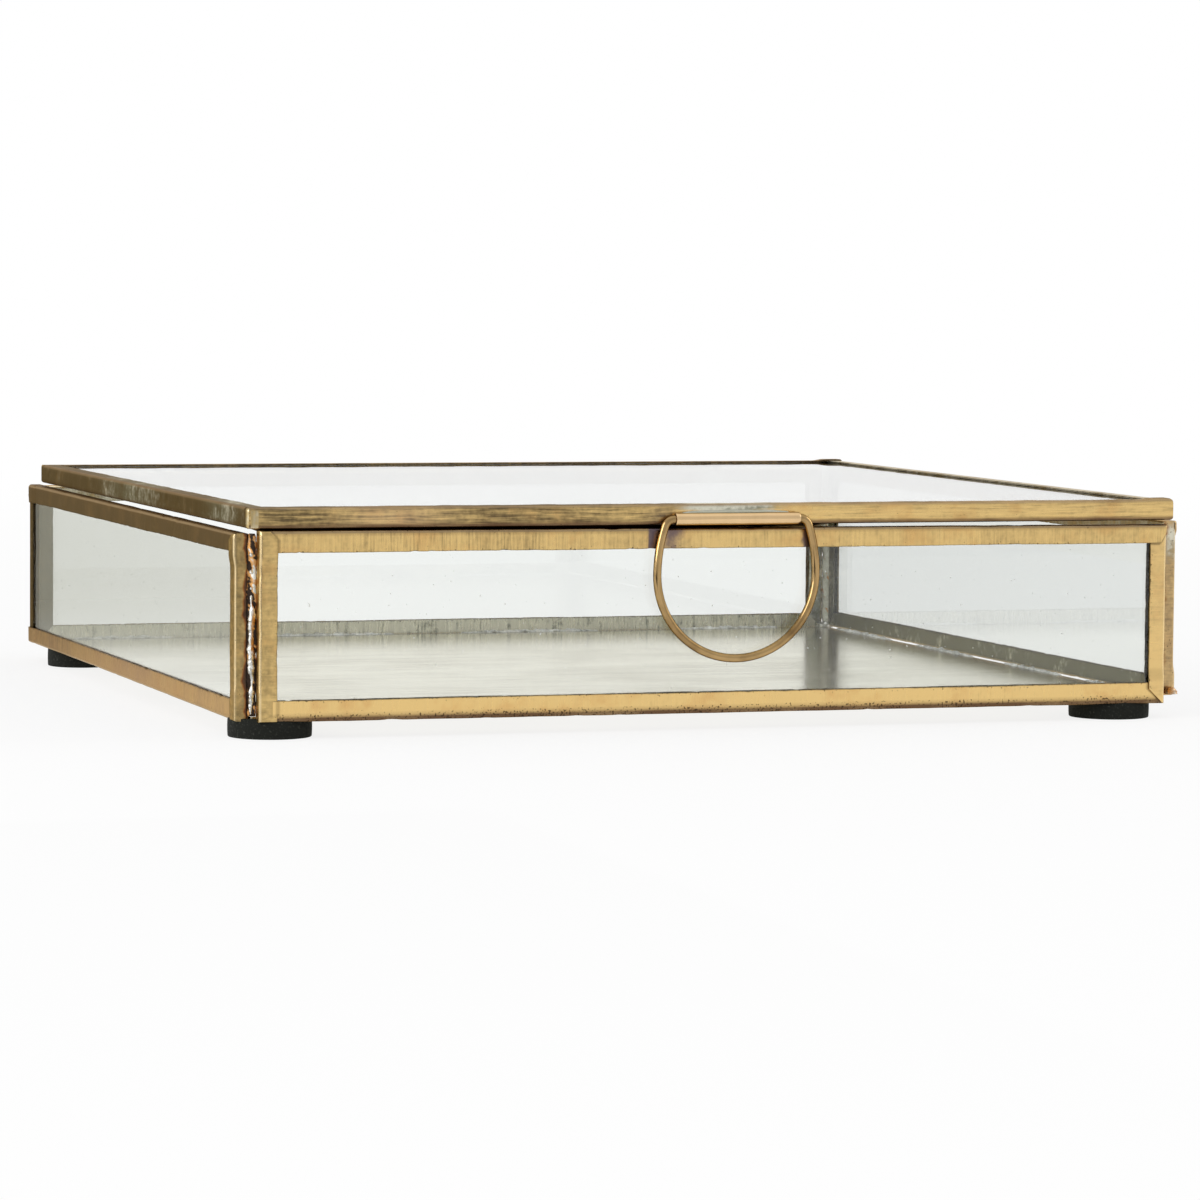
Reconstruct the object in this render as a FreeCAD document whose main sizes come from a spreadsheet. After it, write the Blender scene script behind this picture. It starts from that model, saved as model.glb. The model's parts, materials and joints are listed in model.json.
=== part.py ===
import FreeCAD, Part
import math
import os

import Sketcher

# A square box of glass panes edged with folded brass strip, with a hinged lid and a ring pull.
# X runs to the right along the front, Y to the back and Z up from the surface that the feet stand on.
# Lengths are in millimetres.

SIZES = (
    ("box_width", 180.0, "left wall to right wall, outside"),
    ("box_depth", 180.0, "front wall to back wall, outside"),
    ("wall_height", 32.5, "bottom strip to top strip, outside"),
    ("right_wall_lift", 0.6, "how much higher the right wall is soldered than the others"),
    ("corner_gap", 0.9, "between the inner edges of two walls, along each wall"),
    ("glass_thickness", 2.0, "wall panes"),
    ("brass_gauge", 0.3, "sheet of the wall strips"),
    ("lip_width", 3.3, "how far a wall strip folds over the glass"),
    ("bend_radius", 0.6, "outside of the folds of a wall strip"),
    ("glass_edge_play", 0.2, "between a pane's edge and the bottom of its channel"),
    ("lid_glass_thickness", 3.0, "lid pane"),
    ("lid_brass_gauge", 0.35, "sheet of the lid strips"),
    ("lid_lip_width", 3.3, "how far a lid strip folds over the glass"),
    ("lid_bend_radius", 0.7, "outside of the folds of a lid strip"),
    ("lid_left_inset", 1.6, "lid edge inside the outer face of the left wall"),
    ("lid_right_inset", 2.3, "lid edge inside the outer face of the right wall"),
    ("lid_back_inset", 7.7, "lid edge in front of the outer face of the back wall"),
    ("lid_rest_gap", 0.3, "lid above the right wall, its highest support"),
    ("floor_gauge", 0.4, "floor plate"),
    ("floor_play", 0.1, "between the floor plate and the walls"),
    ("tack_length", 8.0, "solder tack of the floor, along the wall"),
    ("tack_leg", 1.2, "solder tack of the floor, up the wall and out on the plate"),
    ("seam_reach", 1.3, "corner seam, in from the inner edge of each wall"),
    ("seam_recess", 0.9, "corner seam, short of the wall's bottom and top"),
    ("foot_diameter", 15.0, "foam foot"),
    ("foot_height", 3.5, "foam foot"),
    ("foot_edge_radius", 0.4, "foam foot, rounded edges"),
    ("foot_left_inset", 7.4, "centre of a left foot from the outer face of the left wall"),
    ("foot_right_inset", 11.3, "centre of a right foot from the outer face of the right wall"),
    ("foot_front_inset", 7.6, "centre of a front foot from the outer face of the front wall"),
    ("foot_back_inset", 20.5, "centre of a back foot from the outer face of the back wall"),
    ("hinge_tube_diameter", 3.0, "tube on the lid, outside"),
    ("hinge_end_inset", 30.0, "each end of the hinge tube in from the outer face of the side wall"),
    ("hinge_rise", 0.9, "hinge axis above the lower edge of the lid"),
    ("pin_diameter", 1.2, "hinge pin wire"),
    ("pin_clearance", 0.05, "hinge pin in the tube, all round"),
    ("pin_engagement", 14.0, "hinge pin inside the tube"),
    ("pin_end_play", 0.4, "tube end to the start of the pin's bend"),
    ("pin_bend_radius", 1.5, "middle line of the pin's bend"),
    ("pin_end_cover", 0.3, "solder past the end of a pin"),
    ("dab_side", 1.0, "solder beside a pin's leg"),
    ("dab_cover", 0.5, "solder over a pin's leg"),
    ("sleeve_diameter", 2.2, "pull sleeve, outside"),
    ("sleeve_length", 23.6, "pull sleeve"),
    ("pull_offset", 1.5, "middle of the pull to the right of the middle of the box"),
    ("ring_wire_diameter", 1.5, "pull ring wire"),
    ("ring_clearance", 0.05, "pull ring in the sleeve, all round"),
    ("ring_end_play", 0.2, "sleeve end to the start of the ring's bend"),
    ("ring_end_gap", 0.4, "between the two ends of the ring wire, inside the sleeve"),
    ("ring_bend_radius", 1.8, "middle line of the ring's bend at the sleeve"),
    ("ring_shoulder", 3.1, "how far the ring bulges past its bends, middle line"),
    ("ring_drop", 10.0, "sleeve axis down to the centre of the ring's round part"),
    ("overrun", 1.0, "how far a cut runs past what it cuts"),
)

# Places of the floor's solder tacks, as shares of a wall's inner length.
TACK_PLACE_SHARES = (-0.39, -0.15, 0.11, 0.37)
# Solder fillet beside a tube: where it starts and ends on the flat face, in tube radii.
FILLET_FOOT_SHARE = 0.25
FILLET_RISE_SHARE = 1.3
# Solder fillet beside a tube, as shares of the tube's length.
SLEEVE_SOLDER_SHARE = 0.88
HINGE_SOLDER_SHARE = 0.92

UNIT = (FreeCAD.Vector(1, 0, 0), FreeCAD.Vector(0, 1, 0), FreeCAD.Vector(0, 0, 1))
QUARTER_TURN = 90.0

WALL_CHANNEL = {
    "glass": "{glass_thickness}",
    "gauge": "{brass_gauge}",
    "lip": "{lip_width}",
    "bend": "{bend_radius}",
}
LID_CHANNEL = {
    "glass": "{lid_glass_thickness}",
    "gauge": "{lid_brass_gauge}",
    "lip": "{lid_lip_width}",
    "bend": "{lid_bend_radius}",
}

# Sizes worked out from the driving ones, as expressions.
WALL = "({glass_thickness} + 2 * {brass_gauge})"
LID = "({lid_glass_thickness} + 2 * {lid_brass_gauge})"
NOTCH = f"({WALL} + {{corner_gap}})"
INSIDE = (f"({{box_width}} - 2 * {WALL})", f"({{box_depth}} - 2 * {WALL})")
WALL_TOP = "({foot_height} + {wall_height})"
LID_BOTTOM = f"({WALL_TOP} + {{right_wall_lift}} + {{lid_rest_gap}})"
LID_BACK = "({box_depth} / 2 - {lid_back_inset})"
HINGE_Y = f"({LID_BACK} + {{hinge_tube_diameter}} / 2)"
HINGE_Z = f"({LID_BOTTOM} + {{hinge_rise}})"
HINGE_LENGTH = "({box_width} - 2 * {hinge_end_inset})"
PIN_LEG_X = f"({HINGE_LENGTH} / 2 + {{pin_end_play}} + {{pin_bend_radius}})"
PIN_REACH = f"({{box_depth}} / 2 - {{bend_radius}} - {{pin_end_cover}} - {HINGE_Y})"
PIN_DROP = f"({HINGE_Z} - {WALL_TOP} - {{pin_diameter}} / 2)"
SLEEVE_Y = "(-{box_depth} / 2 - {sleeve_diameter} / 2)"
SLEEVE_Z = f"({LID_BOTTOM} + {{sleeve_diameter}} / 2)"
RING_BEND_X = "({sleeve_length} / 2 + {ring_end_play})"
RING_HALF = f"({RING_BEND_X} + {{ring_shoulder}})"

doc = FreeCAD.newDocument("napkin_box")
sheet = doc.addObject("Spreadsheet::Sheet", "Sizes")
for row, (alias, size, note) in enumerate(SIZES, start=1):
    sheet.set(f"A{row}", note)
    sheet.set(f"B{row}", str(size))
    sheet.setAlias(f"B{row}", alias)
doc.recompute()

CELLS = {alias: f"Sizes.{alias}" for alias, size, note in SIZES}
nodes = {}


def bound(text):
    """The expression with each {alias} read from the sheet."""
    return text.format_map(CELLS)


def value(text):
    """The number that an expression gives."""
    return float(sheet.evalExpression(bound(text)))


def keep(name, part, solids=1):
    """Label a finished sub-part and list it for export."""
    part.Label = name
    nodes[name] = (part, solids)
    return part


def group(name, pieces):
    """Separate solids that share one node."""
    compound = doc.addObject("Part::Compound", name)
    compound.Links = pieces
    keep(name, compound, len(pieces))


def place(part, base, rotation=FreeCAD.Rotation()):
    """Put a sub-part at three expressions, turned by a rotation."""
    part.Placement = FreeCAD.Placement(FreeCAD.Vector(), rotation)
    for letter, text in zip("xyz", base):
        part.setExpression(f"Placement.Base.{letter}", bound(text))


def shifted(centre, axis, text):
    """The three expressions of a point moved along one axis."""
    return tuple(f"{here} + {text}" if i == axis else here for i, here in enumerate(centre))


def block(name, sizes, base):
    """A plain box with its low corner at base."""
    box = doc.addObject("Part::Box", name)
    for side, text in zip(("Length", "Width", "Height"), sizes):
        box.setExpression(side, bound(text))
    place(box, base)
    return box


def new_sketch(body, name, plane):
    """An empty sketch on one of the body's own origin planes."""
    sketch = body.newObject("Sketcher::SketchObject", name)
    support = next(o for o in body.Origin.OriginFeatures if o.Role == plane)
    sketch.AttachmentSupport = [(support, "")]
    sketch.MapMode = "FlatFace"
    return sketch


def dimension(sketch, kind, geometry, text):
    """A driving constraint bound to an expression."""
    index = sketch.addConstraint(Sketcher.Constraint(kind, *geometry, value(text)))
    sketch.setExpression(f"Constraints[{index}]", bound(text))


def polygon(body, name, plane, corners):
    """A closed outline through corners, each a pair of expressions."""
    sketch = new_sketch(body, name, plane)
    points = [FreeCAD.Vector(value(across), value(up), 0) for across, up in corners]
    for start, end in zip(points, points[1:] + points[:1]):
        sketch.addGeometry(Part.LineSegment(start, end), False)
    for i, (across, up) in enumerate(corners):
        sketch.addConstraint(Sketcher.Constraint("Coincident", i, 2, (i + 1) % len(corners), 1))
        dimension(sketch, "DistanceX", (-1, 1, i, 1), across)
        dimension(sketch, "DistanceY", (-1, 1, i, 1), up)
    return sketch


def circles(body, name, plane, diameters, across="0"):
    """Circles about one centre, which lies on the sketch's first axis."""
    sketch = new_sketch(body, name, plane)
    centre = FreeCAD.Vector(value(across), 0, 0)
    for i, diameter in enumerate(diameters):
        sketch.addGeometry(Part.Circle(centre, UNIT[2], value(diameter) / 2), False)
        dimension(sketch, "DistanceX", (-1, 1, i, 3), across)
        dimension(sketch, "DistanceY", (-1, 1, i, 3), "0")
        dimension(sketch, "Diameter", (i,), diameter)
    return sketch


def pad(body, sketch, length, side="Symmetric"):
    """A pad of a sketch."""
    feature = body.newObject("PartDesign::Pad", f"{sketch.Name}_pad")
    feature.Profile = sketch
    feature.SideType = side
    feature.setExpression("Length", bound(length))
    doc.recompute()
    return feature


def cut_through(body, sketch):
    """A pocket of a sketch right through the body, both ways, which has to remove material."""
    before = body.Shape.Volume
    feature = body.newObject("PartDesign::Pocket", f"{sketch.Name}_pocket")
    feature.Profile = sketch
    feature.SideType = "Symmetric"
    feature.Type = "ThroughAll"
    doc.recompute()
    if not body.Shape.Volume < before:
        raise RuntimeError(f"{feature.Name} cuts nothing")
    return feature


def round_edges(body, base, radius, chosen):
    """A fillet on the edges of a feature that the test chosen accepts."""
    names = [f"Edge{i}" for i, edge in enumerate(base.Shape.Edges, start=1) if chosen(edge)]
    feature = body.newObject("PartDesign::Fillet", f"{body.Name}_fillet")
    feature.Base = (base, names)
    feature.setExpression("Radius", bound(radius))
    doc.recompute()


def strip(name, length, channel, base, rotation):
    """A folded strip with mitred ends: X along it, Y from its closed back to its open side."""
    body = doc.addObject("PartDesign::Body", name)
    lip = channel["lip"]
    thickness = f"{channel['glass']} + 2 * {channel['gauge']}"
    outline = (
        (f"-{length} / 2", "0"),
        (f"{length} / 2", "0"),
        (f"{length} / 2 - {lip}", lip),
        (f"-{length} / 2 + {lip}", lip),
    )
    pad(body, polygon(body, f"{name}_outline", "XY_Plane", outline), thickness)
    slot = (
        (channel["gauge"], f"-{channel['glass']} / 2"),
        (f"{lip} + {{overrun}}", f"-{channel['glass']} / 2"),
        (f"{lip} + {{overrun}}", f"{channel['glass']} / 2"),
        (channel["gauge"], f"{channel['glass']} / 2"),
    )
    channelled = cut_through(body, polygon(body, f"{name}_slot", "YZ_Plane", slot))
    near = value(channel["gauge"]) / 2

    def is_fold(edge):
        start, end = (vertex.Point for vertex in edge.Vertexes)
        return start.y < near and end.y < near and abs(end.x - start.x) > value(thickness)

    round_edges(body, channelled, channel["bend"], is_fold)
    place(body, base, rotation)
    keep(name, body)


def framed_pane(name, sides, axes, spans, centre, channel):
    """A pane with a folded strip along each of its four edges.

    axes are the two directions of the pane's face and spans the outer lengths along them. sides names the
    strips at the low and the high end of each direction.
    """
    for i, (axis, span) in enumerate(zip(axes, spans)):
        along = UNIT[axes[1 - i]]
        for side, sign in zip(sides[i], (-1, 1)):
            inward = UNIT[axis] * -sign
            turn = FreeCAD.Rotation(along, inward, along.cross(inward), "XYZ")
            edge = shifted(centre, axis, f"{sign} * {span} / 2")
            strip(f"{name}_{side}_strip", spans[1 - i], channel, edge, turn)
    sizes = [channel["glass"]] * 3
    for axis, span in zip(axes, spans):
        sizes[axis] = f"({span} - 2 * {channel['gauge']} - 2 * {{glass_edge_play}})"
    low = centre
    for axis, size in enumerate(sizes):
        low = shifted(low, axis, f"-1 * {size} / 2")
    keep(f"{name}_pane", block(f"{name}_pane", sizes, low))


def walls():
    """The four walls, each short of the corners by its notch."""
    middle = "{foot_height} + {wall_height} / 2"
    half_width = f"({{box_width}} / 2 - {WALL} / 2)"
    half_depth = f"({{box_depth}} / 2 - {WALL} / 2)"
    upright = ("bottom", "top")
    across = f"({{box_width}} - 2 * {NOTCH})"
    deep = f"({{box_depth}} - 2 * {NOTCH})"
    height = "{wall_height}"
    for name, sign in (("front", -1), ("back", 1)):
        centre = ("0", f"{sign} * {half_depth}", middle)
        framed_pane(name, (("left", "right"), upright), (0, 2), (across, height), centre, WALL_CHANNEL)
    for name, sign, lift in (("left", -1, "0"), ("right", 1, "{right_wall_lift}")):
        centre = (f"{sign} * {half_width}", "0", f"{middle} + {lift}")
        framed_pane(name, (("front", "back"), upright), (1, 2), (deep, height), centre, WALL_CHANNEL)


def corner_seams():
    """Solder in the bottom of each corner notch, from the inner edge of one wall to that of the next."""
    outline = (
        (f"{WALL} - {{seam_reach}}", NOTCH),
        (WALL, NOTCH),
        (NOTCH, WALL),
        (NOTCH, f"{WALL} - {{seam_reach}}"),
    )
    bottom = "{foot_height} + {seam_recess}"
    corners = (("front_left", -1, -1), ("front_right", 1, -1), ("back_right", 1, 1), ("back_left", -1, 1))
    for turns, (corner, side, end) in enumerate(corners):
        name = f"{corner}_seam"
        body = doc.addObject("PartDesign::Body", name)
        sketch = polygon(body, f"{name}_outline", "XY_Plane", outline)
        pad(body, sketch, "{wall_height} - 2 * {seam_recess}", "One side")
        base = (f"{side} * {{box_width}} / 2", f"{end} * {{box_depth}} / 2", bottom)
        place(body, base, FreeCAD.Rotation(UNIT[2], turns * QUARTER_TURN))
        keep(name, body)


def floor_plate():
    """The floor, a sheet level with the bottoms of the walls."""
    sizes = [f"({span} - 2 * {{floor_play}})" for span in INSIDE]
    low = [f"-1 * {size} / 2" for size in sizes]
    keep("floor_plate", block("floor_plate", (*sizes, "{floor_gauge}"), (*low, "{foot_height}")))


def floor_tack(axis, sign, share):
    """A wedge of solder on the plate against one wall, at a share of that wall's inner length."""
    tack = doc.addObject("Part::Wedge", "floor_tack")
    for side in ("Xmin", "Ymin", "Zmin", "X2min", "Z2min", "X2max"):
        tack.setExpression(side, "0")
    for side in ("Xmax", "Ymax"):
        tack.setExpression(side, bound("{tack_leg}"))
    for side in ("Zmax", "Z2max"):
        tack.setExpression(side, bound("{tack_length}"))
    inward = UNIT[axis] * -sign
    along = inward.cross(UNIT[2])
    heading = int(sum(along))
    wall = shifted(("0", "0", "{foot_height} + {floor_gauge}"), axis, f"{sign} * {INSIDE[axis]} / 2")
    start = f"{share} * {INSIDE[1 - axis]} - {heading} * {{tack_length}} / 2"
    turn = FreeCAD.Rotation(inward, UNIT[2], along, "XYZ")
    place(tack, shifted(wall, 1 - axis, start), turn)
    return tack


def floor_solder():
    """The tacks that hold the floor plate to the inner lips of the four walls."""
    sides = ((0, -1), (0, 1), (1, -1), (1, 1))
    tacks = [floor_tack(axis, sign, share) for axis, sign in sides for share in TACK_PLACE_SHARES]
    group("floor_solder", tacks)


def feet():
    """Round foam feet under the corners of the walls and the floor plate."""
    for end, sign_y in (("front", -1), ("back", 1)):
        for side, sign_x in (("left", -1), ("right", 1)):
            name = f"{end}_{side}_foot"
            body = doc.addObject("PartDesign::Body", name)
            outline = circles(body, f"{name}_outline", "XY_Plane", ("{foot_diameter}",))
            disc = pad(body, outline, "{foot_height}", "One side")
            round_edges(body, disc, "{foot_edge_radius}", lambda edge: edge.isClosed())
            across = f"{sign_x} * ({{box_width}} / 2 - {{foot_{side}_inset}})"
            back = f"{sign_y} * ({{box_depth}} / 2 - {{foot_{end}_inset}})"
            place(body, (across, back, "0"))
            keep(name, body)


def tube(name, outside, inside, length, base):
    """A tube along X."""
    body = doc.addObject("PartDesign::Body", name)
    pad(body, circles(body, f"{name}_section", "YZ_Plane", (outside, inside)), length)
    place(body, base)
    keep(name, body)


def tube_solder(name, diameter, length, base, rotation):
    """A fillet above the line where a tube along X touches an upright face, the tube on the -Y side."""
    radius = f"{diameter} / 2"
    body = doc.addObject("PartDesign::Body", name)
    outline = (
        ("0", f"{FILLET_FOOT_SHARE} * {radius}"),
        ("0", f"{FILLET_RISE_SHARE} * {radius}"),
        (f"-1 * {radius}", "0"),
    )
    pad(body, polygon(body, f"{name}_outline", "YZ_Plane", outline), length)
    cut_through(body, circles(body, f"{name}_seat", "YZ_Plane", (diameter,), f"-1 * {radius}"))
    place(body, base, rotation)
    keep(name, body)


def wire(body, path, diameter, start):
    """A round wire along a path that starts at x = start, heading along X."""
    section = circles(body, f"{path.Name}_section", "YZ_Plane", (diameter,))
    section.setExpression("AttachmentOffset.Base.z", bound(start))
    sweep = body.newObject("PartDesign::AdditivePipe", f"{path.Name}_sweep")
    sweep.Profile = section
    sweep.Spine = (path, [f"Edge{i}" for i in range(1, path.GeometryCount + 1)])
    doc.recompute()


def line(start, end):
    """A straight run in a sketch."""
    return Part.LineSegment(FreeCAD.Vector(*start, 0), FreeCAD.Vector(*end, 0))


def arc(centre, radius, start, end):
    """An arc in a sketch, counter-clockwise between two angles in radians."""
    return Part.ArcOfCircle(Part.Circle(FreeCAD.Vector(*centre, 0), UNIT[2], radius), start, end)


def hinge_pin(name, sign):
    """A bent pin: one end in the hinge tube, the leg sloping down to the top of the back wall."""
    body = doc.addObject("PartDesign::Body", name)
    path = new_sketch(body, f"{name}_path", "XY_Plane")
    tail = "-1 * {pin_engagement}"
    leg = f"sqrt({PIN_REACH} ^ 2 + {PIN_DROP} ^ 2)"
    play = value("{pin_end_play}")
    bend = value("{pin_bend_radius}")
    path.addGeometry(line((value(tail), 0), (play, 0)), False)
    path.addGeometry(arc((play, bend), bend, -math.pi / 2, 0), False)
    path.addGeometry(line((play + bend, bend), (play + bend, value(leg))), False)
    path.addConstraint(Sketcher.Constraint("PointOnObject", 0, 1, -1))
    path.addConstraint(Sketcher.Constraint("Horizontal", 0))
    path.addConstraint(Sketcher.Constraint("Vertical", 2))
    path.addConstraint(Sketcher.Constraint("Tangent", 0, 2, 1, 1))
    path.addConstraint(Sketcher.Constraint("Tangent", 1, 2, 2, 1))
    dimension(path, "DistanceX", (-1, 1, 0, 1), tail)
    dimension(path, "DistanceX", (-1, 1, 0, 2), "{pin_end_play}")
    dimension(path, "Radius", (1,), "{pin_bend_radius}")
    dimension(path, "DistanceY", (-1, 1, 2, 2), leg)
    wire(body, path, "{pin_diameter}", tail)
    slope = FreeCAD.Rotation(UNIT[0], -math.degrees(math.atan2(value(PIN_DROP), value(PIN_REACH))))
    half_turn = FreeCAD.Rotation(UNIT[1], QUARTER_TURN * (1 - sign))
    place(body, (f"{sign} * {HINGE_LENGTH} / 2", HINGE_Y, HINGE_Z), slope * half_turn)
    return keep(name, body)


def pin_dab(pin, sign):
    """Solder over the end of a pin's leg, on the flat top of the back wall."""
    wide = "({pin_diameter} + 2 * {dab_side})"
    sizes = (wide, f"{WALL} - 2 * {{bend_radius}}", "{pin_diameter} + {dab_cover}")
    front = f"{{box_depth}} / 2 - {WALL} + {{bend_radius}}"
    low = (f"{sign} * {PIN_LEG_X} - {wide} / 2", front, WALL_TOP)
    dab = doc.addObject("Part::Cut", f"{pin.Name}_dab")
    dab.Base = block(f"{pin.Name}_dab_block", sizes, low)
    dab.Tool = pin
    return dab


def hinge_pins():
    """The two pins of the hinge and the solder that holds them."""
    sides = (("hinge_pin_left", -1), ("hinge_pin_right", 1))
    group("hinge_pin_solder", [pin_dab(hinge_pin(name, sign), sign) for name, sign in sides])


def lid():
    """The framed lid with its hinge tube and pull sleeve."""
    width = "({box_width} - {lid_left_inset} - {lid_right_inset})"
    depth = "({box_depth} - {lid_back_inset})"
    middle = "({lid_left_inset} - {lid_right_inset}) / 2"
    centre = (middle, "-1 * {lid_back_inset} / 2", f"{LID_BOTTOM} + {LID} / 2")
    sides = (("left", "right"), ("front", "back"))
    framed_pane("lid", sides, (0, 1), (width, depth), centre, LID_CHANNEL)

    outside, length = "{hinge_tube_diameter}", HINGE_LENGTH
    tube("hinge_tube", outside, "{pin_diameter} + 2 * {pin_clearance}", length, ("0", HINGE_Y, HINGE_Z))
    half_turn = FreeCAD.Rotation(UNIT[2], 2 * QUARTER_TURN)
    solder = f"{HINGE_SOLDER_SHARE} * {length}"
    tube_solder("hinge_tube_solder", outside, solder, ("0", LID_BACK, HINGE_Z), half_turn)

    outside, length = "{sleeve_diameter}", "{sleeve_length}"
    axis = ("{pull_offset}", SLEEVE_Y, SLEEVE_Z)
    tube("pull_sleeve", outside, "{ring_wire_diameter} + 2 * {ring_clearance}", length, axis)
    touch = ("{pull_offset}", "-1 * {box_depth} / 2", SLEEVE_Z)
    solder = f"{SLEEVE_SOLDER_SHARE} * {length}"
    tube_solder("pull_sleeve_solder", outside, solder, touch, FreeCAD.Rotation())


def pull_ring():
    """One wire: from inside the sleeve out to the shoulders, round below and back into the sleeve."""
    body = doc.addObject("PartDesign::Body", "pull_ring")
    path = new_sketch(body, "pull_ring_path", "XZ_Plane")
    gap, bend_x, bend, half, drop = (
        value(text)
        for text in ("{ring_end_gap} / 2", RING_BEND_X, "{ring_bend_radius}", RING_HALF, "{ring_drop}")
    )
    # The shoulder arc ends upright beside the round part and touches the bend's arc from outside.
    bulge = half - bend_x
    shoulder = (bulge**2 + (drop - bend) ** 2 - bend**2) / (2 * (bulge - bend))
    shoulder_x = half - shoulder
    meet = math.atan2(drop - bend, bend_x - shoulder_x)
    path.addGeometry(line((gap, 0), (bend_x, 0)), False)
    path.addGeometry(arc((bend_x, -bend), bend, meet, math.pi / 2), False)
    path.addGeometry(arc((shoulder_x, -drop), shoulder, 0, meet), False)
    path.addGeometry(arc((0, -drop), half, math.pi, 2 * math.pi), False)
    path.addGeometry(arc((-shoulder_x, -drop), shoulder, math.pi - meet, math.pi), False)
    path.addGeometry(arc((-bend_x, -bend), bend, math.pi / 2, math.pi - meet), False)
    path.addGeometry(line((-bend_x, 0), (-gap, 0)), False)
    for joint in ((0, 2, 1, 2), (1, 1, 2, 2), (2, 1, 3, 2), (3, 1, 4, 2), (4, 1, 5, 2), (5, 1, 6, 1)):
        path.addConstraint(Sketcher.Constraint("Tangent", *joint))
    for run in (0, 6):
        path.addConstraint(Sketcher.Constraint("PointOnObject", run, 1, -1))
        path.addConstraint(Sketcher.Constraint("Horizontal", run))
    for end in (1, 2):
        path.addConstraint(Sketcher.Constraint("Horizontal", 3, 3, 3, end))
    path.addConstraint(Sketcher.Constraint("PointOnObject", 3, 3, -2))
    dimension(path, "DistanceX", (-1, 1, 0, 1), "{ring_end_gap} / 2")
    dimension(path, "DistanceX", (-1, 1, 0, 2), RING_BEND_X)
    dimension(path, "DistanceX", (-1, 1, 6, 1), f"-1 * {RING_BEND_X}")
    dimension(path, "DistanceX", (-1, 1, 6, 2), "-1 * {ring_end_gap} / 2")
    dimension(path, "DistanceY", (-1, 1, 3, 3), "-1 * {ring_drop}")
    dimension(path, "Radius", (3,), RING_HALF)
    for corner in (1, 5):
        dimension(path, "Radius", (corner,), "{ring_bend_radius}")
    wire(body, path, "{ring_wire_diameter}", "{ring_end_gap} / 2")
    place(body, ("{pull_offset}", SLEEVE_Y, SLEEVE_Z))
    keep("pull_ring", body)


def check_and_export():
    """Stop on any failed object or bad shape, then write one file per sub-part."""
    doc.recompute()
    for thing in doc.Objects:
        if {"Invalid", "Error"} & set(thing.State):
            raise RuntimeError(f"{thing.Name} failed: {thing.State}")
    for name, (part, solids) in nodes.items():
        shape = part.Shape
        if shape.isNull() or not shape.isValid() or len(shape.Solids) != solids:
            raise RuntimeError(f"{name} has a bad shape")
    os.makedirs("parts", exist_ok=True)
    for name, (part, solids) in nodes.items():
        part.Shape.exportStep(f"parts/{name}.step")
    print(f"{len(nodes)} sub-parts written")


walls()
corner_seams()
floor_plate()
floor_solder()
feet()
hinge_pins()
lid()
pull_ring()
check_and_export()
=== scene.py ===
"""The looks of a glass napkin box: folded brass strip, glass, solder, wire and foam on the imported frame."""

import json
import logging
import math
from collections.abc import Mapping, Sequence
from dataclasses import dataclass, field
from enum import Enum

import bmesh
import bpy
import numpy as np
from mathutils import Matrix, Vector

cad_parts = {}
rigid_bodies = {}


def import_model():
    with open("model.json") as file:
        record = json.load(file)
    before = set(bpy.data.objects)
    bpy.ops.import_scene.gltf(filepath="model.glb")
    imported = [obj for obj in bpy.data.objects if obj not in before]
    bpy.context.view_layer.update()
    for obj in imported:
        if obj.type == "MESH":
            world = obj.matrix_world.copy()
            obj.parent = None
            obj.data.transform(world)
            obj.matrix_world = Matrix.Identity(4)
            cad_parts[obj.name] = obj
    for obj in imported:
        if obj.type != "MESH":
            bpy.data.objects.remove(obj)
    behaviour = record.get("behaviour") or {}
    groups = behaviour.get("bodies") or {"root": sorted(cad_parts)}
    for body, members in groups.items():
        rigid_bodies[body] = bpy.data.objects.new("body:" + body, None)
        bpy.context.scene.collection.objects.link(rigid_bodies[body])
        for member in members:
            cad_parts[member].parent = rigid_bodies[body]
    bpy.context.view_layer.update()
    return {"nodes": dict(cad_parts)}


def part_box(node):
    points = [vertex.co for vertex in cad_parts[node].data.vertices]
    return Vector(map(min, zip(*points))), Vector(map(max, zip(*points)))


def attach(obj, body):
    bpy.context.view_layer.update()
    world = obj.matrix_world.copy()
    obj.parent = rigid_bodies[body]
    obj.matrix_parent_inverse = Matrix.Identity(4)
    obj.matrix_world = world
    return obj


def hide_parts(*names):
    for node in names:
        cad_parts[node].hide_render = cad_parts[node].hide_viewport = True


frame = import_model()

LOG = logging.getLogger("napkin_box")

# Lengths are in millimetres, but those of the lamps, the boards, the studio's floor and the camera's clip in metres.
MM = 0.001
SHARP_ANGLE = math.radians(38)
AXES = np.eye(3)
TURN = 2 * math.pi
RIGHT_ANGLE = math.pi / 2
TINY = 1e-6

# Ripples and lumps are sums of sines: how the sines shrink and shorten, and what brings their sum to about 1.
RIPPLE_SHRINK, RIPPLE_GAIN = 0.6, 1.6
LUMP_COUNT, LUMP_SHRINK, LUMP_SHORTEN, LUMP_GAIN = 7, 0.78, 1.55, 2.0

# A lot number settles random draws. Numbers added to it, and this cycle and step, set one piece off from another.
LOT_CYCLE, LOT_STEP = 97, 3.7

# Wire and tube: height and length of the bands and of the dents, and how much of a tube's wall its ends lose.
WIRE_BANDS, TUBE_DENTS, TUBE_EASE = (0.25, 31.0), (0.012, 19.0), 0.18

# Solder: the thinnest end and longest lump of a run; the angles of a drop's first and last ring, and its lowest level.
RUN_END, RUN_LUMP = 0.004, 6.0
DROP_START, DROP_END, DROP_SUNK = -0.25, RIGHT_ANGLE - 0.06, -0.08

Array = np.ndarray
Colour = tuple[float, float, float]
Point = tuple[float, float, float]
Marks = Mapping[str, Array | float]
Profile = tuple[tuple[float, float], ...]
LEVEL: Profile = ((0.0, 0.0),)


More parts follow.
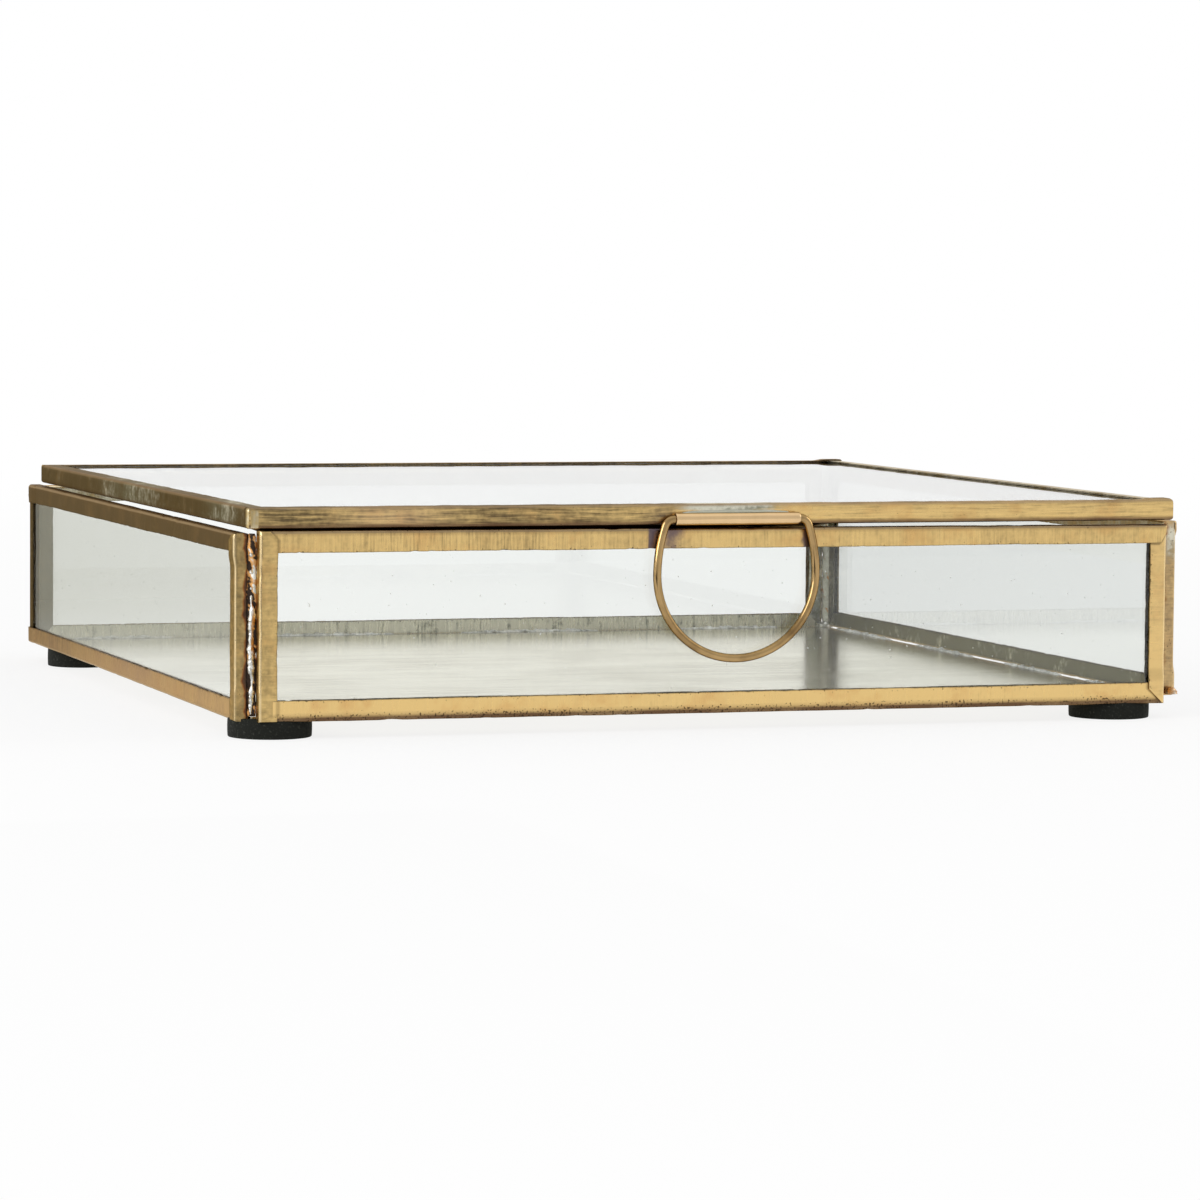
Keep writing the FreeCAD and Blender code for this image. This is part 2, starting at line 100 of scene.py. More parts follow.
def smooth(x: Array, low: float, high: float) -> Array:
    """A ramp from 0 at low to 1 at high, three squares less two cubes of the way; low may lie above high."""
    share = np.clip((x - low) / (high - low), 0, 1)
    return share * share * (3 - 2 * share)


def circle(sides: int) -> Array:
    """Angles of evenly spaced points round a full turn."""
    return np.linspace(0, TURN, sides, endpoint=False)


def quarter(steps: int) -> Array:
    """Angles from zero to a right angle."""
    return np.linspace(0, RIGHT_ANGLE, steps)


def ripple(x: Array, lot: int, length: float, octaves: int = 4) -> Array:
    """A smooth wandering line, as hand work leaves it.

    The sum of sines whose wavelengths halve and whose heights shrink from one to the next, each with a phase
    and a stretch that follow from the lot number.

    Args:
        x: Places along the line.
        lot: Number that settles the phases.
        length: Longest wavelength.
        octaves: How many sines are added.

    Returns:
        Heights between about -1 and 1, of the shape of x.
    """
    draw = np.random.default_rng(lot)
    order = np.arange(octaves)
    phase = draw.uniform(0, TURN, octaves)
    stretch = draw.uniform(0.8, 1.25, octaves)
    height = RIPPLE_SHRINK**order
    turns = TURN / length * 2.0**order * stretch
    waves = height * np.sin(np.asarray(x)[..., None] * turns + phase)
    return waves.sum(-1) / height.sum() * RIPPLE_GAIN


def lumps(x: Array, angle: Array, lot: int, length: float) -> Array:
    """Lumps on a long round body: sines that run along it and round it at once.

    Args:
        x: Places along the body, as a column.
        angle: Angles round it in radians, as a row.
        lot: Number that settles the phases.
        length: Longest wavelength along the body.

    Returns:
        Heights between about -1 and 1, one for each place and angle.
    """
    draw = np.random.default_rng(lot)
    order = np.arange(LUMP_COUNT)
    phase = draw.uniform(0, TURN, LUMP_COUNT)
    round_turns = draw.integers(0, 4, LUMP_COUNT)
    turns = TURN / length * LUMP_SHORTEN**order * draw.uniform(0.8, 1.2, LUMP_COUNT)
    height = LUMP_SHRINK**order
    waves = height * np.sin(x[..., None] * turns + round_turns * angle[..., None] + phase)
    return waves.sum(-1) / height.sum() * LUMP_GAIN


def grid_faces(rows: int, columns: int, closed: bool) -> Array:
    """The quads of a grid whose columns run round: each joins a point to the next row and column.

    Args:
        rows: Number of rings.
        columns: Points of a ring.
        closed: Whether the last ring joins the first.

    Returns:
        Four point numbers for each quad.
    """
    row = np.arange(rows if closed else rows - 1)[:, None]
    column = np.arange(columns)[None, :]
    below, beside = (row + 1) % rows, (column + 1) % columns
    corners = (row * columns + column, row * columns + beside, below * columns + beside, below * columns + column)
    return np.stack(corners, -1).reshape(-1, 4)


@dataclass
class Skin:
    """Closed surfaces of one piece, with a value of every mark at each point."""

    points: list[Array] = field(default_factory=list)
    faces: list[list[int]] = field(default_factory=list)
    marks: list[dict[str, Array]] = field(default_factory=list)
    size: int = 0

    def add(self, points: Array, faces: Sequence[Array], marks: Marks | None = None) -> None:
        """Append one surface.

        Args:
            points: Points, in any array of rows of three.
            faces: Arrays of point numbers, one face to a row.
            marks: Values that the finish reads, one for all points or one for each.
        """
        flat = points.reshape(-1, 3)
        for group in faces:
            self.faces += (group + self.size).tolist()
        spread = {name: np.broadcast_to(value, points.shape[:-1]).ravel() for name, value in (marks or {}).items()}
        self.points.append(flat)
        self.marks.append(spread)
        self.size += len(flat)

    def loft(self, rings: Array, closed: bool = False, marks: Marks | None = None) -> None:
        """Append a skin over rings of points; an open one gets a fan from the middle of each end ring.

        Args:
            rings: Grid of rings by points by three.
            closed: Whether the last ring joins the first, as in a hollow tube.
            marks: Values that the finish reads, for all points or for the grid.
        """
        rows, columns = rings.shape[:2]
        faces = [grid_faces(rows, columns, closed)]
        spread = {name: np.broadcast_to(value, (rows, columns)) for name, value in (marks or {}).items()}
        points = rings.reshape(-1, 3)
        flat = {name: value.ravel() for name, value in spread.items()}
        if not closed:
            column = np.arange(columns)
            beside = (column + 1) % columns
            last = (rows - 1) * columns
            ends = np.full(columns, rows * columns)
            faces.append(np.stack([ends, beside, column], -1))
            faces.append(np.stack([ends + 1, last + column, last + beside], -1))
            points = np.concatenate([points, rings[[0, -1]].mean(1)])
            flat = {name: np.concatenate([value.ravel(), value[[0, -1]].mean(1)]) for name, value in spread.items()}
        self.add(points, faces, flat)

    def piece(
        self, name: str, body: str, slot: str, material: bpy.types.Material, nodes: Sequence[str]
    ) -> bpy.types.Object:
        """Make the piece that stands for some nodes.

        Args:
            name: Name of the piece.
            body: Body that it rides on.
            slot: Material slot of the record; not used.
            material: Its finish.
            nodes: Nodes that it replaces.

        Returns:
            The new object, at the origin.
        """
        mesh = bpy.data.meshes.new(name)
        mesh.from_pydata((np.concatenate(self.points) * MM).tolist(), [], self.faces)
        shell = bmesh.new()
        shell.from_mesh(mesh)
        bmesh.ops.recalc_face_normals(shell, faces=shell.faces)
        shell.to_mesh(mesh)
        shell.free()
        mesh.polygons.foreach_set("use_smooth", np.ones(len(mesh.polygons), bool))
        mesh.set_sharp_from_angle(angle=SHARP_ANGLE)
        for mark in sorted({key for group in self.marks for key in group}):
            values = [group.get(mark, np.zeros(len(part))) for group, part in zip(self.marks, self.points)]
            layer = mesh.attributes.new(mark, "FLOAT", "POINT")
            layer.data.foreach_set("value", np.concatenate(values).astype(np.float32))
        mesh.materials.append(material)
        made = bpy.data.objects.new(name, mesh)
        bpy.context.scene.collection.objects.link(made)
        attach(made, body)
        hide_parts(*nodes)
        LOG.info("%s: %d points on %s", name, len(mesh.vertices), body)
        return made


class Value:
    """A number that varies over a surface; arithmetic on it adds Math nodes."""

    def __init__(self, graph: "Graph", socket: bpy.types.NodeSocket) -> None:
        """Wrap an output socket of a graph."""
        self.graph = graph
        self.socket = socket

    def _math(self, operation: str, first: "Value | float", second: "Value | float") -> "Value":
        """A Math node on two values."""
        node = self.graph.add("ShaderNodeMath", {"operation": operation}, {0: first, 1: second})
        return Value(self.graph, node.outputs[0])

    def __add__(self, other: "Value | float") -> "Value":
        """The sum."""
        return self._math("ADD", self, other)

    def __radd__(self, other: float) -> "Value":
        """The sum, with the number first."""
        return self._math("ADD", other, self)

    def __sub__(self, other: "Value | float") -> "Value":
        """The difference."""
        return self._math("SUBTRACT", self, other)

    def __rsub__(self, other: float) -> "Value":
        """The difference, with the number first."""
        return self._math("SUBTRACT", other, self)

    def __mul__(self, other: "Value | float") -> "Value":
        """The product."""
        return self._math("MULTIPLY", self, other)

    def __rmul__(self, other: float) -> "Value":
        """The product, with the number first."""
        return self._math("MULTIPLY", other, self)

    def largest(self, other: "Value | float") -> "Value":
        """The larger of two."""
        return self._math("MAXIMUM", self, other)

    def ramp(self, low: float, high: float) -> "Value":
        """A smooth ramp from 0 at one value to 1 at another.

        Args:
            low: Where the ramp is 0.
            high: Where the ramp is 1.

        Returns:
            The ramp.
        """
        settings = {"interpolation_type": "SMOOTHSTEP"}
        node = self.graph.add("ShaderNodeMapRange", settings, {"Value": self, "From Min": low, "From Max": high})
        return Value(self.graph, node.outputs[0])


class Graph:
    """The nodes of one material or world."""

    def __init__(self, tree: bpy.types.NodeTree) -> None:
        """Start from an empty tree."""
        self.tree = tree
        tree.nodes.clear()

    @classmethod
    def material(cls, name: str) -> "tuple[bpy.types.Material, Graph]":
        """A new material and its empty graph.

        Args:
            name: Name of the material.

        Returns:
            The material and its graph.
        """
        made = bpy.data.materials.new(name)
        made.use_nodes = True
        return made, cls(made.node_tree)

    def add(
        self,
        kind: str,
        settings: Mapping[str, object] | None = None,
        inputs: Mapping[str | int, object] | None = None,
    ) -> bpy.types.Node:
        """Add a node.

        Args:
            kind: Type of the node.
            settings: Properties, set first; stops are the places and colours of a ramp.
            inputs: Values or links of its sockets, by name or number.

        Returns:
            The new node.
        """
        node = self.tree.nodes.new(kind)
        for key, value in (settings or {}).items():
            if key == "stops":
                self._set_stops(node.color_ramp, value)
            else:
                setattr(node, key, value)
        for key, value in (inputs or {}).items():
            socket = node.inputs[key]
            if isinstance(value, Value):
                self.tree.links.new(value.socket, socket)
            elif isinstance(value, bpy.types.NodeSocket):
                self.tree.links.new(value, socket)
            else:
                socket.default_value = value
        return node

    @staticmethod
    def _set_stops(ramp: bpy.types.ColorRamp, stops: Sequence[tuple[float, Colour]]) -> None:
        """Give a ramp its stops.

        Args:
            ramp: The ramp.
            stops: Places and colours, in order.
        """
        while len(ramp.elements) < len(stops):
            ramp.elements.new(1.0)
        for element, (place, colour) in zip(ramp.elements, stops):
            element.position = place
            element.color = (*colour, 1.0)

    def mark(self, name: str) -> Value:
        """A mark of the piece's own points."""
        return Value(self, self.add("ShaderNodeAttribute", {"attribute_name": name}).outputs["Fac"])

    def place(self) -> bpy.types.NodeSocket:
        """Object coordinates, in metres."""
        return self.add("ShaderNodeTexCoord").outputs["Object"]

    def across(self) -> Value:
        """Object coordinate X, in millimetres."""
        split = self.add("ShaderNodeSeparateXYZ", None, {0: self.place()})
        return Value(self, split.outputs[0]) * (1 / MM)

    def stretched(self, scale: Point) -> bpy.types.NodeSocket:
        """Object coordinates scaled along each axis."""
        return self.add("ShaderNodeMapping", None, {"Vector": self.place(), "Scale": scale}).outputs[0]

    def noise(self, vector: bpy.types.NodeSocket, scale: float, detail: float = 3.0, rough: float = 0.55) -> Value:
        """Noise about 0.5."""
        inputs = {"Vector": vector, "Scale": scale, "Detail": detail, "Roughness": rough}
        return Value(self, self.add("ShaderNodeTexNoise", None, inputs).outputs[0])

    def near(self, point: Point, reach: float) -> Value:
        """1 at a point, falling smoothly to 0 at a distance from it.

        Args:
            point: The point, in millimetres.
            reach: The distance, in millimetres.

        Returns:
            The share.
        """
        middle = tuple(x * MM for x in point)
        inputs = {0: self.place(), 1: middle}
        away = Value(self, self.add("ShaderNodeVectorMath", {"operation": "DISTANCE"}, inputs).outputs["Value"])
        return away.ramp(reach * MM, 0.0)

    def facing(self) -> Value:
        """0 where a surface faces the eye, 1 where it is seen edge on."""
        return Value(self, self.add("ShaderNodeLayerWeight", None, {"Blend": 0.5}).outputs["Facing"])

    def mix(self, share: Value | float, first: object, second: object) -> bpy.types.NodeSocket:
        """A colour between two; each is a colour or a link."""
        inputs = {0: share, 6: self._rgba(first), 7: self._rgba(second)}
        return self.add("ShaderNodeMix", {"data_type": "RGBA"}, inputs).outputs[2]

    @staticmethod
    def _rgba(colour: object) -> object:
        """A colour with its fourth number, or a link as it is."""
        return (*colour, 1.0) if isinstance(colour, tuple) else colour

    def bump(self, height: Value, strength: float, depth: float) -> bpy.types.NodeSocket:
        """A normal from a height; depth in millimetres."""
        inputs = {"Height": height, "Strength": strength, "Distance": depth * MM}
        return self.add("ShaderNodeBump", None, inputs).outputs[0]

    def surface(self, inputs: Mapping[str | int, object]) -> bpy.types.Node:
        """The shader and the output."""
        shader = self.add("ShaderNodeBsdfPrincipled", None, inputs)
        return self.add("ShaderNodeOutputMaterial", None, {"Surface": shader.outputs[0]})


@dataclass(frozen=True)
class StripBrass:
    """Brass sheet brushed across the strip, with patina, heat tints, tin on its inside, folds rubbed bright and painted
    with a highlight, painted shade and painted shadow lines.
    """

    name: str = "strip_brass"
    gold: Colour = (0.87, 0.61, 0.245)
    warm: Colour = (0.72, 0.42, 0.15)
    worn: Colour = (0.96, 0.78, 0.48)
    patina: Colour = (0.120, 0.088, 0.044)
    blush: Colour = (0.60, 0.41, 0.28)
    pale: Colour = (0.80, 0.78, 0.64)
    olive: Colour = (0.215, 0.22, 0.15)
    smoke: Colour = (0.13, 0.10, 0.13)
    painted_shade: Colour = (0.15, 0.085, 0.045)
    near_black: Colour = (0.05, 0.032, 0.018)
    edge_tint: Colour = (0.64, 0.54, 0.42)
    grain_along: float = 2.6
    grain_across: float = 0.16
    cloud_scale: float = 95.0
    tint_scale: float = 160.0
    mottle_scale: float = 900.0
    speck_scale: float = 2600.0
    rough: float = 0.28
    bump: float = 0.30
    bump_depth: float = 0.02
    # Tints of a soldering burn, tan to black; the black end also paints the shadow in the gap at the seam's edge.
    heat_and_shadow: tuple[tuple[float, Colour], ...] = (
        (0.0, (0.42, 0.29, 0.12)),
        (0.40, (0.36, 0.15, 0.045)),
        (0.62, (0.13, 0.045, 0.025)),
        (1.0, (0.045, 0.033, 0.03)),
    )

    def material(self) -> bpy.types.Material:
        """The finished material.

        Gold darkens with age, then takes heat tints, tin, wear and a painted highlight, painted shade, burns and the
        painted shadow of their gap, soot and the ring's painted shadow, dirt and painted shadow lines, each by its
        mark.

        Returns:
            The material.
        """
        made, g = Graph.material(self.name)
        place = g.place()
        inputs = {
            0: g.mark("along") * self.grain_along,
            1: g.mark("across") * self.grain_across,
            2: g.mark("lot"),
        }
        brushed = g.add("ShaderNodeCombineXYZ", None, inputs).outputs[0]
        strength = g.mark("grain")
        grain = (g.noise(brushed, 1.0, 4.0, 0.6) - 0.5) * strength
        broad = (g.noise(brushed, 0.45, 4.0, 0.65) - 0.5) * strength
        cloud = g.noise(place, self.cloud_scale, 4.0, 0.6)
        tint = g.noise(place, self.tint_scale, 3.0, 0.6)
        mottle = g.noise(place, self.mottle_scale, 3.0, 0.6)
        speck = g.noise(place, self.speck_scale, 1.0, 0.5)
        fold, rim = g.mark("fold"), g.mark("rim")

        age = g.mark("patina") + (cloud - 0.5) * 0.85 + grain * 1.9 + (mottle - 0.5) * 0.7
        dark = age.ramp(-0.15, 1.05)
        colour = g.mix(dark, self.gold, self.patina)
        colour = g.mix(tint.ramp(0.48, 0.74) * (0.65 - dark * 0.55), colour, self.warm)
        colour = g.mix(g.mark("blush") * (0.55 + cloud * 0.9), colour, self.blush)
        patchy = broad * 0.8 + (mottle - 0.5) * 0.7 + (tint - 0.5) * 0.9 + (cloud - 0.5) * 0.5 - g.mark("drab") * 0.35
        inner = g.mix(patchy.ramp(-0.22, 0.20), self.olive, self.pale)
        tinned = (g.mark("inside") + (tint - 0.5) * 0.7 + (mottle - 0.5) * 0.4).ramp(0.15, 0.75)
        colour = g.mix(tinned * g.mark("inside").ramp(0.0, 0.15), colour, inner)
        # Wear and painted highlight: the folds are lightened towards pale cream, as though they caught the light.
        colour = g.mix(fold * (0.55 + grain * 0.5), colour, self.worn)
        # Painted shade: folds beside gaps and below the strips are darkened towards brown.
        colour = g.mix(g.mark("shade") * (0.6 + cloud * 0.7), colour, self.painted_shade)
        # Burn by the seams; where it is blackest it also paints the shadow of the gap in the notch.
        heat_and_shadow = g.mark("burn") + (mottle - 0.5) * 0.35 + (tint - 0.5) * 0.3
        burnt_and_shaded = g.add("ShaderNodeValToRGB", {"stops": self.heat_and_shadow}, {0: heat_and_shadow}).outputs[0]
        colour = g.mix(heat_and_shadow.ramp(0.12, 0.40) * 0.92, colour, burnt_and_shaded)
        # Soot, and the painted shadow of the ring's legs on the front strip.
        soot_and_shadow_share = (g.mark("smoke") + (tint - 0.5) * 1.1 + (mottle - 0.5) * 0.3).ramp(0.25, 0.75)
        colour = g.mix(soot_and_shadow_share * g.mark("smoke").ramp(0.02, 0.2) * 0.85, colour, self.smoke)
        dirt = (speck + rim * (0.02 + cloud * 0.34) + g.mark("pitted") * (0.06 + tint * 0.30)).ramp(0.78, 0.86)
        # Painted shadow lines: where a lip covers another, and along each lip's free edge against the glass; the specks
        # above are dirt.
        lines = (g.mark("joint") * 0.8).largest(rim.ramp(0.80, 1.0) * 0.65)
        colour = g.mix((dirt * 0.85).largest(lines), colour, self.near_black)
        rough = self.rough + age.ramp(0.0, 1.2) * 0.16 + grain * 0.12 + dirt * 0.2 - fold * 0.06
        height = grain * 0.6 + mottle * 0.5 - dirt * 0.8
        g.surface({
            "Base Color": colour,
            "Metallic": 1.0,
            "Roughness": rough,
            "Specular Tint": (*self.edge_tint, 1.0),
            "Normal": g.bump(height, self.bump, self.bump_depth),
        })
        return made


@dataclass(frozen=True)
class WireBrass:
    """Drawn brass wire and tube, smoother than strip, with brown bands, rosy sheen and small dark specks."""

    name: str = "wire_brass"
    gold: Colour = (0.47, 0.315, 0.14)
    brown: Colour = (0.19, 0.112, 0.045)
    rose: Colour = (0.90, 0.64, 0.36)
    near_black: Colour = (0.05, 0.032, 0.018)
    edge_tint: Colour = (0.10, 0.07, 0.04)
    drawn_along: float = 0.35
    drawn_around: float = 3.0
    cloud_scale: float = 260.0
    speck_scale: float = 2400.0
    rough: float = 0.13
    bump: float = 0.25
    bump_depth: float = 0.015

    def material(self) -> bpy.types.Material:
        """The finished material.

        Gold darkens with age in drawn streaks, then takes the rosy sheen and specks.

        Returns:
            The material.
        """
        made, g = Graph.material(self.name)
        place = g.place()
        cloud = g.noise(place, self.cloud_scale, 4.0, 0.6)
        inputs = {0: g.mark("along") * self.drawn_along, 1: g.mark("around") * self.drawn_around, 2: g.mark("lot")}
        drawn = g.noise(g.add("ShaderNodeCombineXYZ", None, inputs).outputs[0], 1.0, 3.0, 0.6)
        speck = g.noise(place, self.speck_scale, 1.0, 0.5).ramp(0.76, 0.82)
        age = g.mark("patina") + (cloud - 0.5) * 0.8 + (drawn - 0.5) * 0.6
        colour = g.mix(age.ramp(0.0, 1.0), self.gold, self.brown)
        colour = g.mix(g.mark("rose") * (0.55 + drawn * 0.6), colour, self.rose)
        colour = g.mix(speck * 0.7, colour, self.near_black)
        rough = self.rough + age.ramp(0.0, 1.2) * 0.12 + speck * 0.2
        height = drawn * 0.8 - speck
        g.surface({
            "Base Color": colour,
            "Metallic": 1.0,
            "Roughness": rough,
            "Specular Tint": (*self.edge_tint, 1.0),
            "Normal": g.bump(height, self.bump, self.bump_depth),
        })
        return made


@dataclass(frozen=True)
class FloorBrass:
    """Rolled brass sheet with long streaks from side to side and stained edges."""

    name: str = "floor_brass"
    gold: Colour = (0.86, 0.80, 0.62)
    dull: Colour = (0.66, 0.60, 0.44)
    stain: Colour = (0.24, 0.20, 0.12)
    streak_scale: Point = (14.0, 620.0, 40.0)
    fine_scale: Point = (60.0, 2600.0, 100.0)
    cloud_scale: float = 34.0
    speck_scale: float = 1500.0
    rough: float = 0.12
    bump: float = 0.14
    bump_depth: float = 0.010

    def material(self) -> bpy.types.Material:
        """The finished material.

        Gold dulls along streaks and clouds, then takes the stained edge and specks.

        Returns:
            The material.
        """
        made, g = Graph.material(self.name)
        streak = g.noise(g.stretched(self.streak_scale), 1.0, 4.0, 0.65)
        fine = g.noise(g.stretched(self.fine_scale), 1.0, 2.0, 0.5)
        cloud = g.noise(g.place(), self.cloud_scale, 4.0, 0.6)
        speck = g.noise(g.place(), self.speck_scale, 1.0, 0.5).ramp(0.70, 0.76)
        age = (streak * 0.55 + cloud * 0.6).ramp(0.45, 0.8)
        colour = g.mix(age, self.gold, self.dull)
        colour = g.mix((g.mark("edge") * (0.4 + cloud)).ramp(0.45, 0.9) * 0.7, colour, self.stain)
        colour = g.mix(speck * 0.5, colour, self.stain)
        rough = self.rough + streak * 0.10 + age * 0.06 + speck * 0.2
        height = streak * 0.7 + fine * 0.5
        g.surface({
            "Base Color": colour,
            "Metallic": 1.0,
            "Roughness": rough,
            "Normal": g.bump(height, self.bump, self.bump_depth),
        })
        return made


@dataclass(frozen=True)
class Solder:
    """Tin solder, bright on its crests or dull, with copper and black flux stains."""

    name: str = "solder"
    bright: Colour = (0.93, 0.93, 0.90)
    grey: Colour = (0.46, 0.46, 0.43)
    dull: Colour = (0.52, 0.52, 0.42)
    copper: Colour = (0.56, 0.30, 0.11)
    flux: Colour = (0.040, 0.028, 0.022)
    cloud_scale: float = 420.0
    grit_scale: float = 2200.0
    rough: float = 0.34
    bump: float = 0.35
    bump_depth: float = 0.05

    def material(self) -> bpy.types.Material:
        """The finished material.

        Bright tin greys in clouds, dulls, and takes copper and flux where the stain is strong.

        Returns:
            The material.
        """
        made, g = Graph.material(self.name)
        place = g.place()
        cloud = g.noise(place, self.cloud_scale, 4.0, 0.6)
        grit = g.noise(place, self.grit_scale, 3.0, 0.65)
        colour = g.mix((cloud * 0.7 + grit * 0.5).ramp(0.45, 0.75), self.bright, self.grey)
        colour = g.mix(g.mark("dull") * (0.6 + cloud * 0.6), colour, self.dull)
        stain = g.mark("stain") + (cloud - 0.5) * 0.8
        colour = g.mix(stain.ramp(0.28, 0.50), colour, self.copper)
        colour = g.mix((stain + (grit - 0.5) * 0.5).ramp(0.58, 0.80), colour, self.flux)
        rough = self.rough + grit * 0.20 + stain.ramp(0.3, 1.0) * 0.2
        g.surface({
            "Base Color": colour,
            "Metallic": 1.0,
            "Roughness": rough,
            "Normal": g.bump(grit * 0.7 + cloud * 0.6, self.bump, self.bump_depth),
        })
        return made


@dataclass(frozen=True)
class ClearGlass:
    """Float glass: clear, hazier towards the right, dullest edge on, green in its depth, with specks and smears."""

    name: str
    face: Colour = (0.980, 0.978, 0.971)
    hazy: Colour = (0.958, 0.957, 0.951)
    haze: tuple[float, float] = (-55.0, 30.0)
    edge_on: Colour = (0.970, 0.970, 0.955)
    right_edge_on: Colour = (0.790, 0.792, 0.775)
    right: tuple[float, float] = (84.0, 86.0)
    depth_tint: Colour = (0.50, 0.86, 0.74)
    density: float = 20.0
    smear: Point = (30.0, 30.0, 220.0)
    speck_scale: float = 1700.0
    refraction: float = 1.5

    def material(self) -> bpy.types.Material:
        """The finished material.

        A tint by side and by slant, a little rough where wiped or specked, and green absorption within.

        Returns:
            The material.
        """
        made, g = Graph.material(self.name)
        speck = g.noise(g.place(), self.speck_scale, 0.0, 0.5).ramp(0.865, 0.885)
        wiped = g.noise(g.stretched(self.smear), 1.0, 3.0, 0.6).ramp(0.58, 0.85)
        across = g.across()
        face = g.mix(across.ramp(*self.haze), self.face, self.hazy)
        edge_on = g.mix(across.ramp(*self.right), self.edge_on, self.right_edge_on)
        ends = g.surface({
            "Base Color": g.mix(g.facing().ramp(0.25, 0.95), face, edge_on),
            "Roughness": wiped * 0.03 + speck * 0.4,
            "IOR": self.refraction,
            "Transmission Weight": 1.0,
        })
        inputs = {"Color": (*self.depth_tint, 1.0), "Density": self.density}
        tinted = g.add("ShaderNodeVolumeAbsorption", None, inputs)
        g.tree.links.new(tinted.outputs[0], ends.inputs["Volume"])
        return made


@dataclass(frozen=True)
class Foam:
    """Black closed-cell foam with fine open cells where it was cut."""

    name: str = "foam"
    black: Colour = (0.008, 0.009, 0.007)
    grey: Colour = (0.045, 0.048, 0.040)
    cell_scale: float = 2600.0
    cloud_scale: float = 500.0
    speck_scale: float = 2300.0
    rough: float = 0.78
    bump: float = 0.6
    bump_depth: float = 0.12

    def material(self) -> bpy.types.Material:
        """The finished material.

        Black with grey specks, over a bump of round cells.

        Returns:
            The material.
        """
        made, g = Graph.material(self.name)
        place = g.place()
        cell = g.add("ShaderNodeTexVoronoi", {"feature": "F1"}, {"Vector": place, "Scale": self.cell_scale})
        cells = Value(g, cell.outputs["Distance"])
        cloud = g.noise(place, self.cloud_scale, 3.0, 0.6)
        speck = g.noise(place, self.speck_scale, 2.0, 0.6).ramp(0.58, 0.72)
        colour = g.mix(speck * 0.8 + cloud * 0.2, self.black, self.grey)
        g.surface({
            "Base Color": colour,
            "Roughness": self.rough + cloud * 0.2,
            "Specular IOR Level": 0.2,
            "Normal": g.bump(cells + cloud * 0.6, self.bump, self.bump_depth),
        })
        return made


class Joint(Enum):
    """How one end of a strip's outer lip meets the strip that crosses it."""

    OVER = "over"
    UNDER = "under"
    CLIPPED = "clipped"
    TUCKED = "tucked"


class Corner(Enum):
    """How a corner of a frame is closed: the joint of its upright strip and that of its level strip."""

    UPRIGHT_OVER = (Joint.OVER, Joint.UNDER)
    LEVEL_OVER = (Joint.UNDER, Joint.OVER)
    UPRIGHT_CLIPPED = (Joint.CLIPPED, Joint.TUCKED)
    LEVEL_CLIPPED = (Joint.TUCKED, Joint.CLIPPED)


@dataclass(frozen=True)
class Stain:
    """A mark on a strip: where along it, how far it reaches and how much of each tint it has."""

    at: float
    reach: float
    patina: float = 0.0
    blush: float = 0.0
    smoke: float = 0.0
    grain: float = 0.0
    tinned: float = 0.0
    above: float = -9.0
    soft: float = 0.3


@dataclass(frozen=True)
class Tone:
    """The age and painted shade of one strip: its even tints, its stains, some of which paint shadow, the pits along
    its folds, and the painted shade on its folds and web.
    """

    patina: float
    blush: float
    pitted: float
    stains: tuple[Stain, ...] = ()
    shade: float = 0.0
    lengthwise: bool = False
    tin: float = 0.85
    lip: float = 0.0
    under: float = 0.0
    over: float = 0.0
    drab: float = 0.0
    grain: float = 0.5
    tinned: float = 0.0
    burn: float = 0.6
    depth: float = 0.67

    def along(self, s: Array, through: Array, kind: str) -> Array:
        """One tint at places along the strip and through its thickness.

        Each stain is a bell along the strip, and ends at a level through its thickness.

        Args:
            s: Places along the strip.
            through: Places through its thickness.
            kind: Name of the tint.

        Returns:
            Amounts of the tint.
        """
        total = np.full_like(s, getattr(self, kind, 0.0))
        for stain in self.stains:
            level = smooth(through, stain.above - stain.soft, stain.above + stain.soft)
            total += getattr(stain, kind) * smooth(np.abs(s - stain.at), stain.reach, 0.0) * level
        return total


@dataclass(frozen=True)
class Channel:
    """The section of a folded strip: how thick over both lips, lip width, sheet gauge and outer bend radius."""

    thickness: float
    lip: float
    gauge: float
    bend: float
    lip_points: int = 6
    bend_points: int = 7
    web_points: int = 5

    def outline(self, depth: float) -> tuple[Array, Array]:
        """One face of the sheet, from the outer lip's edge round the web to the inner lip's edge.

        Two straight lips joined to a straight web by quarter circles about the same centres whatever the
        depth below the outer face.

        Args:
            depth: How far below the outer face.

        Returns:
            Distances from the web, and places through the thickness, outer lip positive.
        """
        half, radius = self.thickness / 2, self.bend - depth
        flat = np.linspace(self.lip, self.bend, self.lip_points, endpoint=False)
        turn = quarter(self.bend_points)
        web = np.linspace(half - self.bend, self.bend - half, self.web_points + 2)[1:-1]
        reach = np.concatenate([flat, self.bend - radius * np.sin(turn)])
        through = np.concatenate([np.full(self.lip_points, half - depth), half - self.bend + radius * np.cos(turn)])
        across = np.concatenate([reach, np.full(self.web_points, depth), reach[::-1]])
        return across, np.concatenate([through, web, -through[::-1]])

    def drop(self, edge: Array) -> Array:
        """How far a crossing strip's fold falls away at a distance from its web: a quarter circle's drop."""
        short = np.clip(self.bend - edge, 0, self.bend)
        return self.bend - np.sqrt(self.bend**2 - short**2)


@dataclass(frozen=True)
class Clip:
    """The slanting cut of a clipped corner: how far from the web it begins, and its slope."""

    begin: float = 1.3
    slope: float = 0.6


@dataclass(frozen=True)
class Knocks:
    """Small knocks along a strip: how far apart, how far from its ends, and the ranges of their widths and depths."""

    apart: float
    margin: float
    wide: tuple[float, float]
    deep: tuple[float, float]
    fewest: int = 3

    def count(self, length: float) -> int:
        """How many a strip of some length has."""
        return max(self.fewest, int(length / self.apart))

    def span(self, length: float) -> tuple[float, float]:
        """The part of the strip that they lie in, from its middle."""
        return -length / 2 + self.margin, length / 2 - self.margin


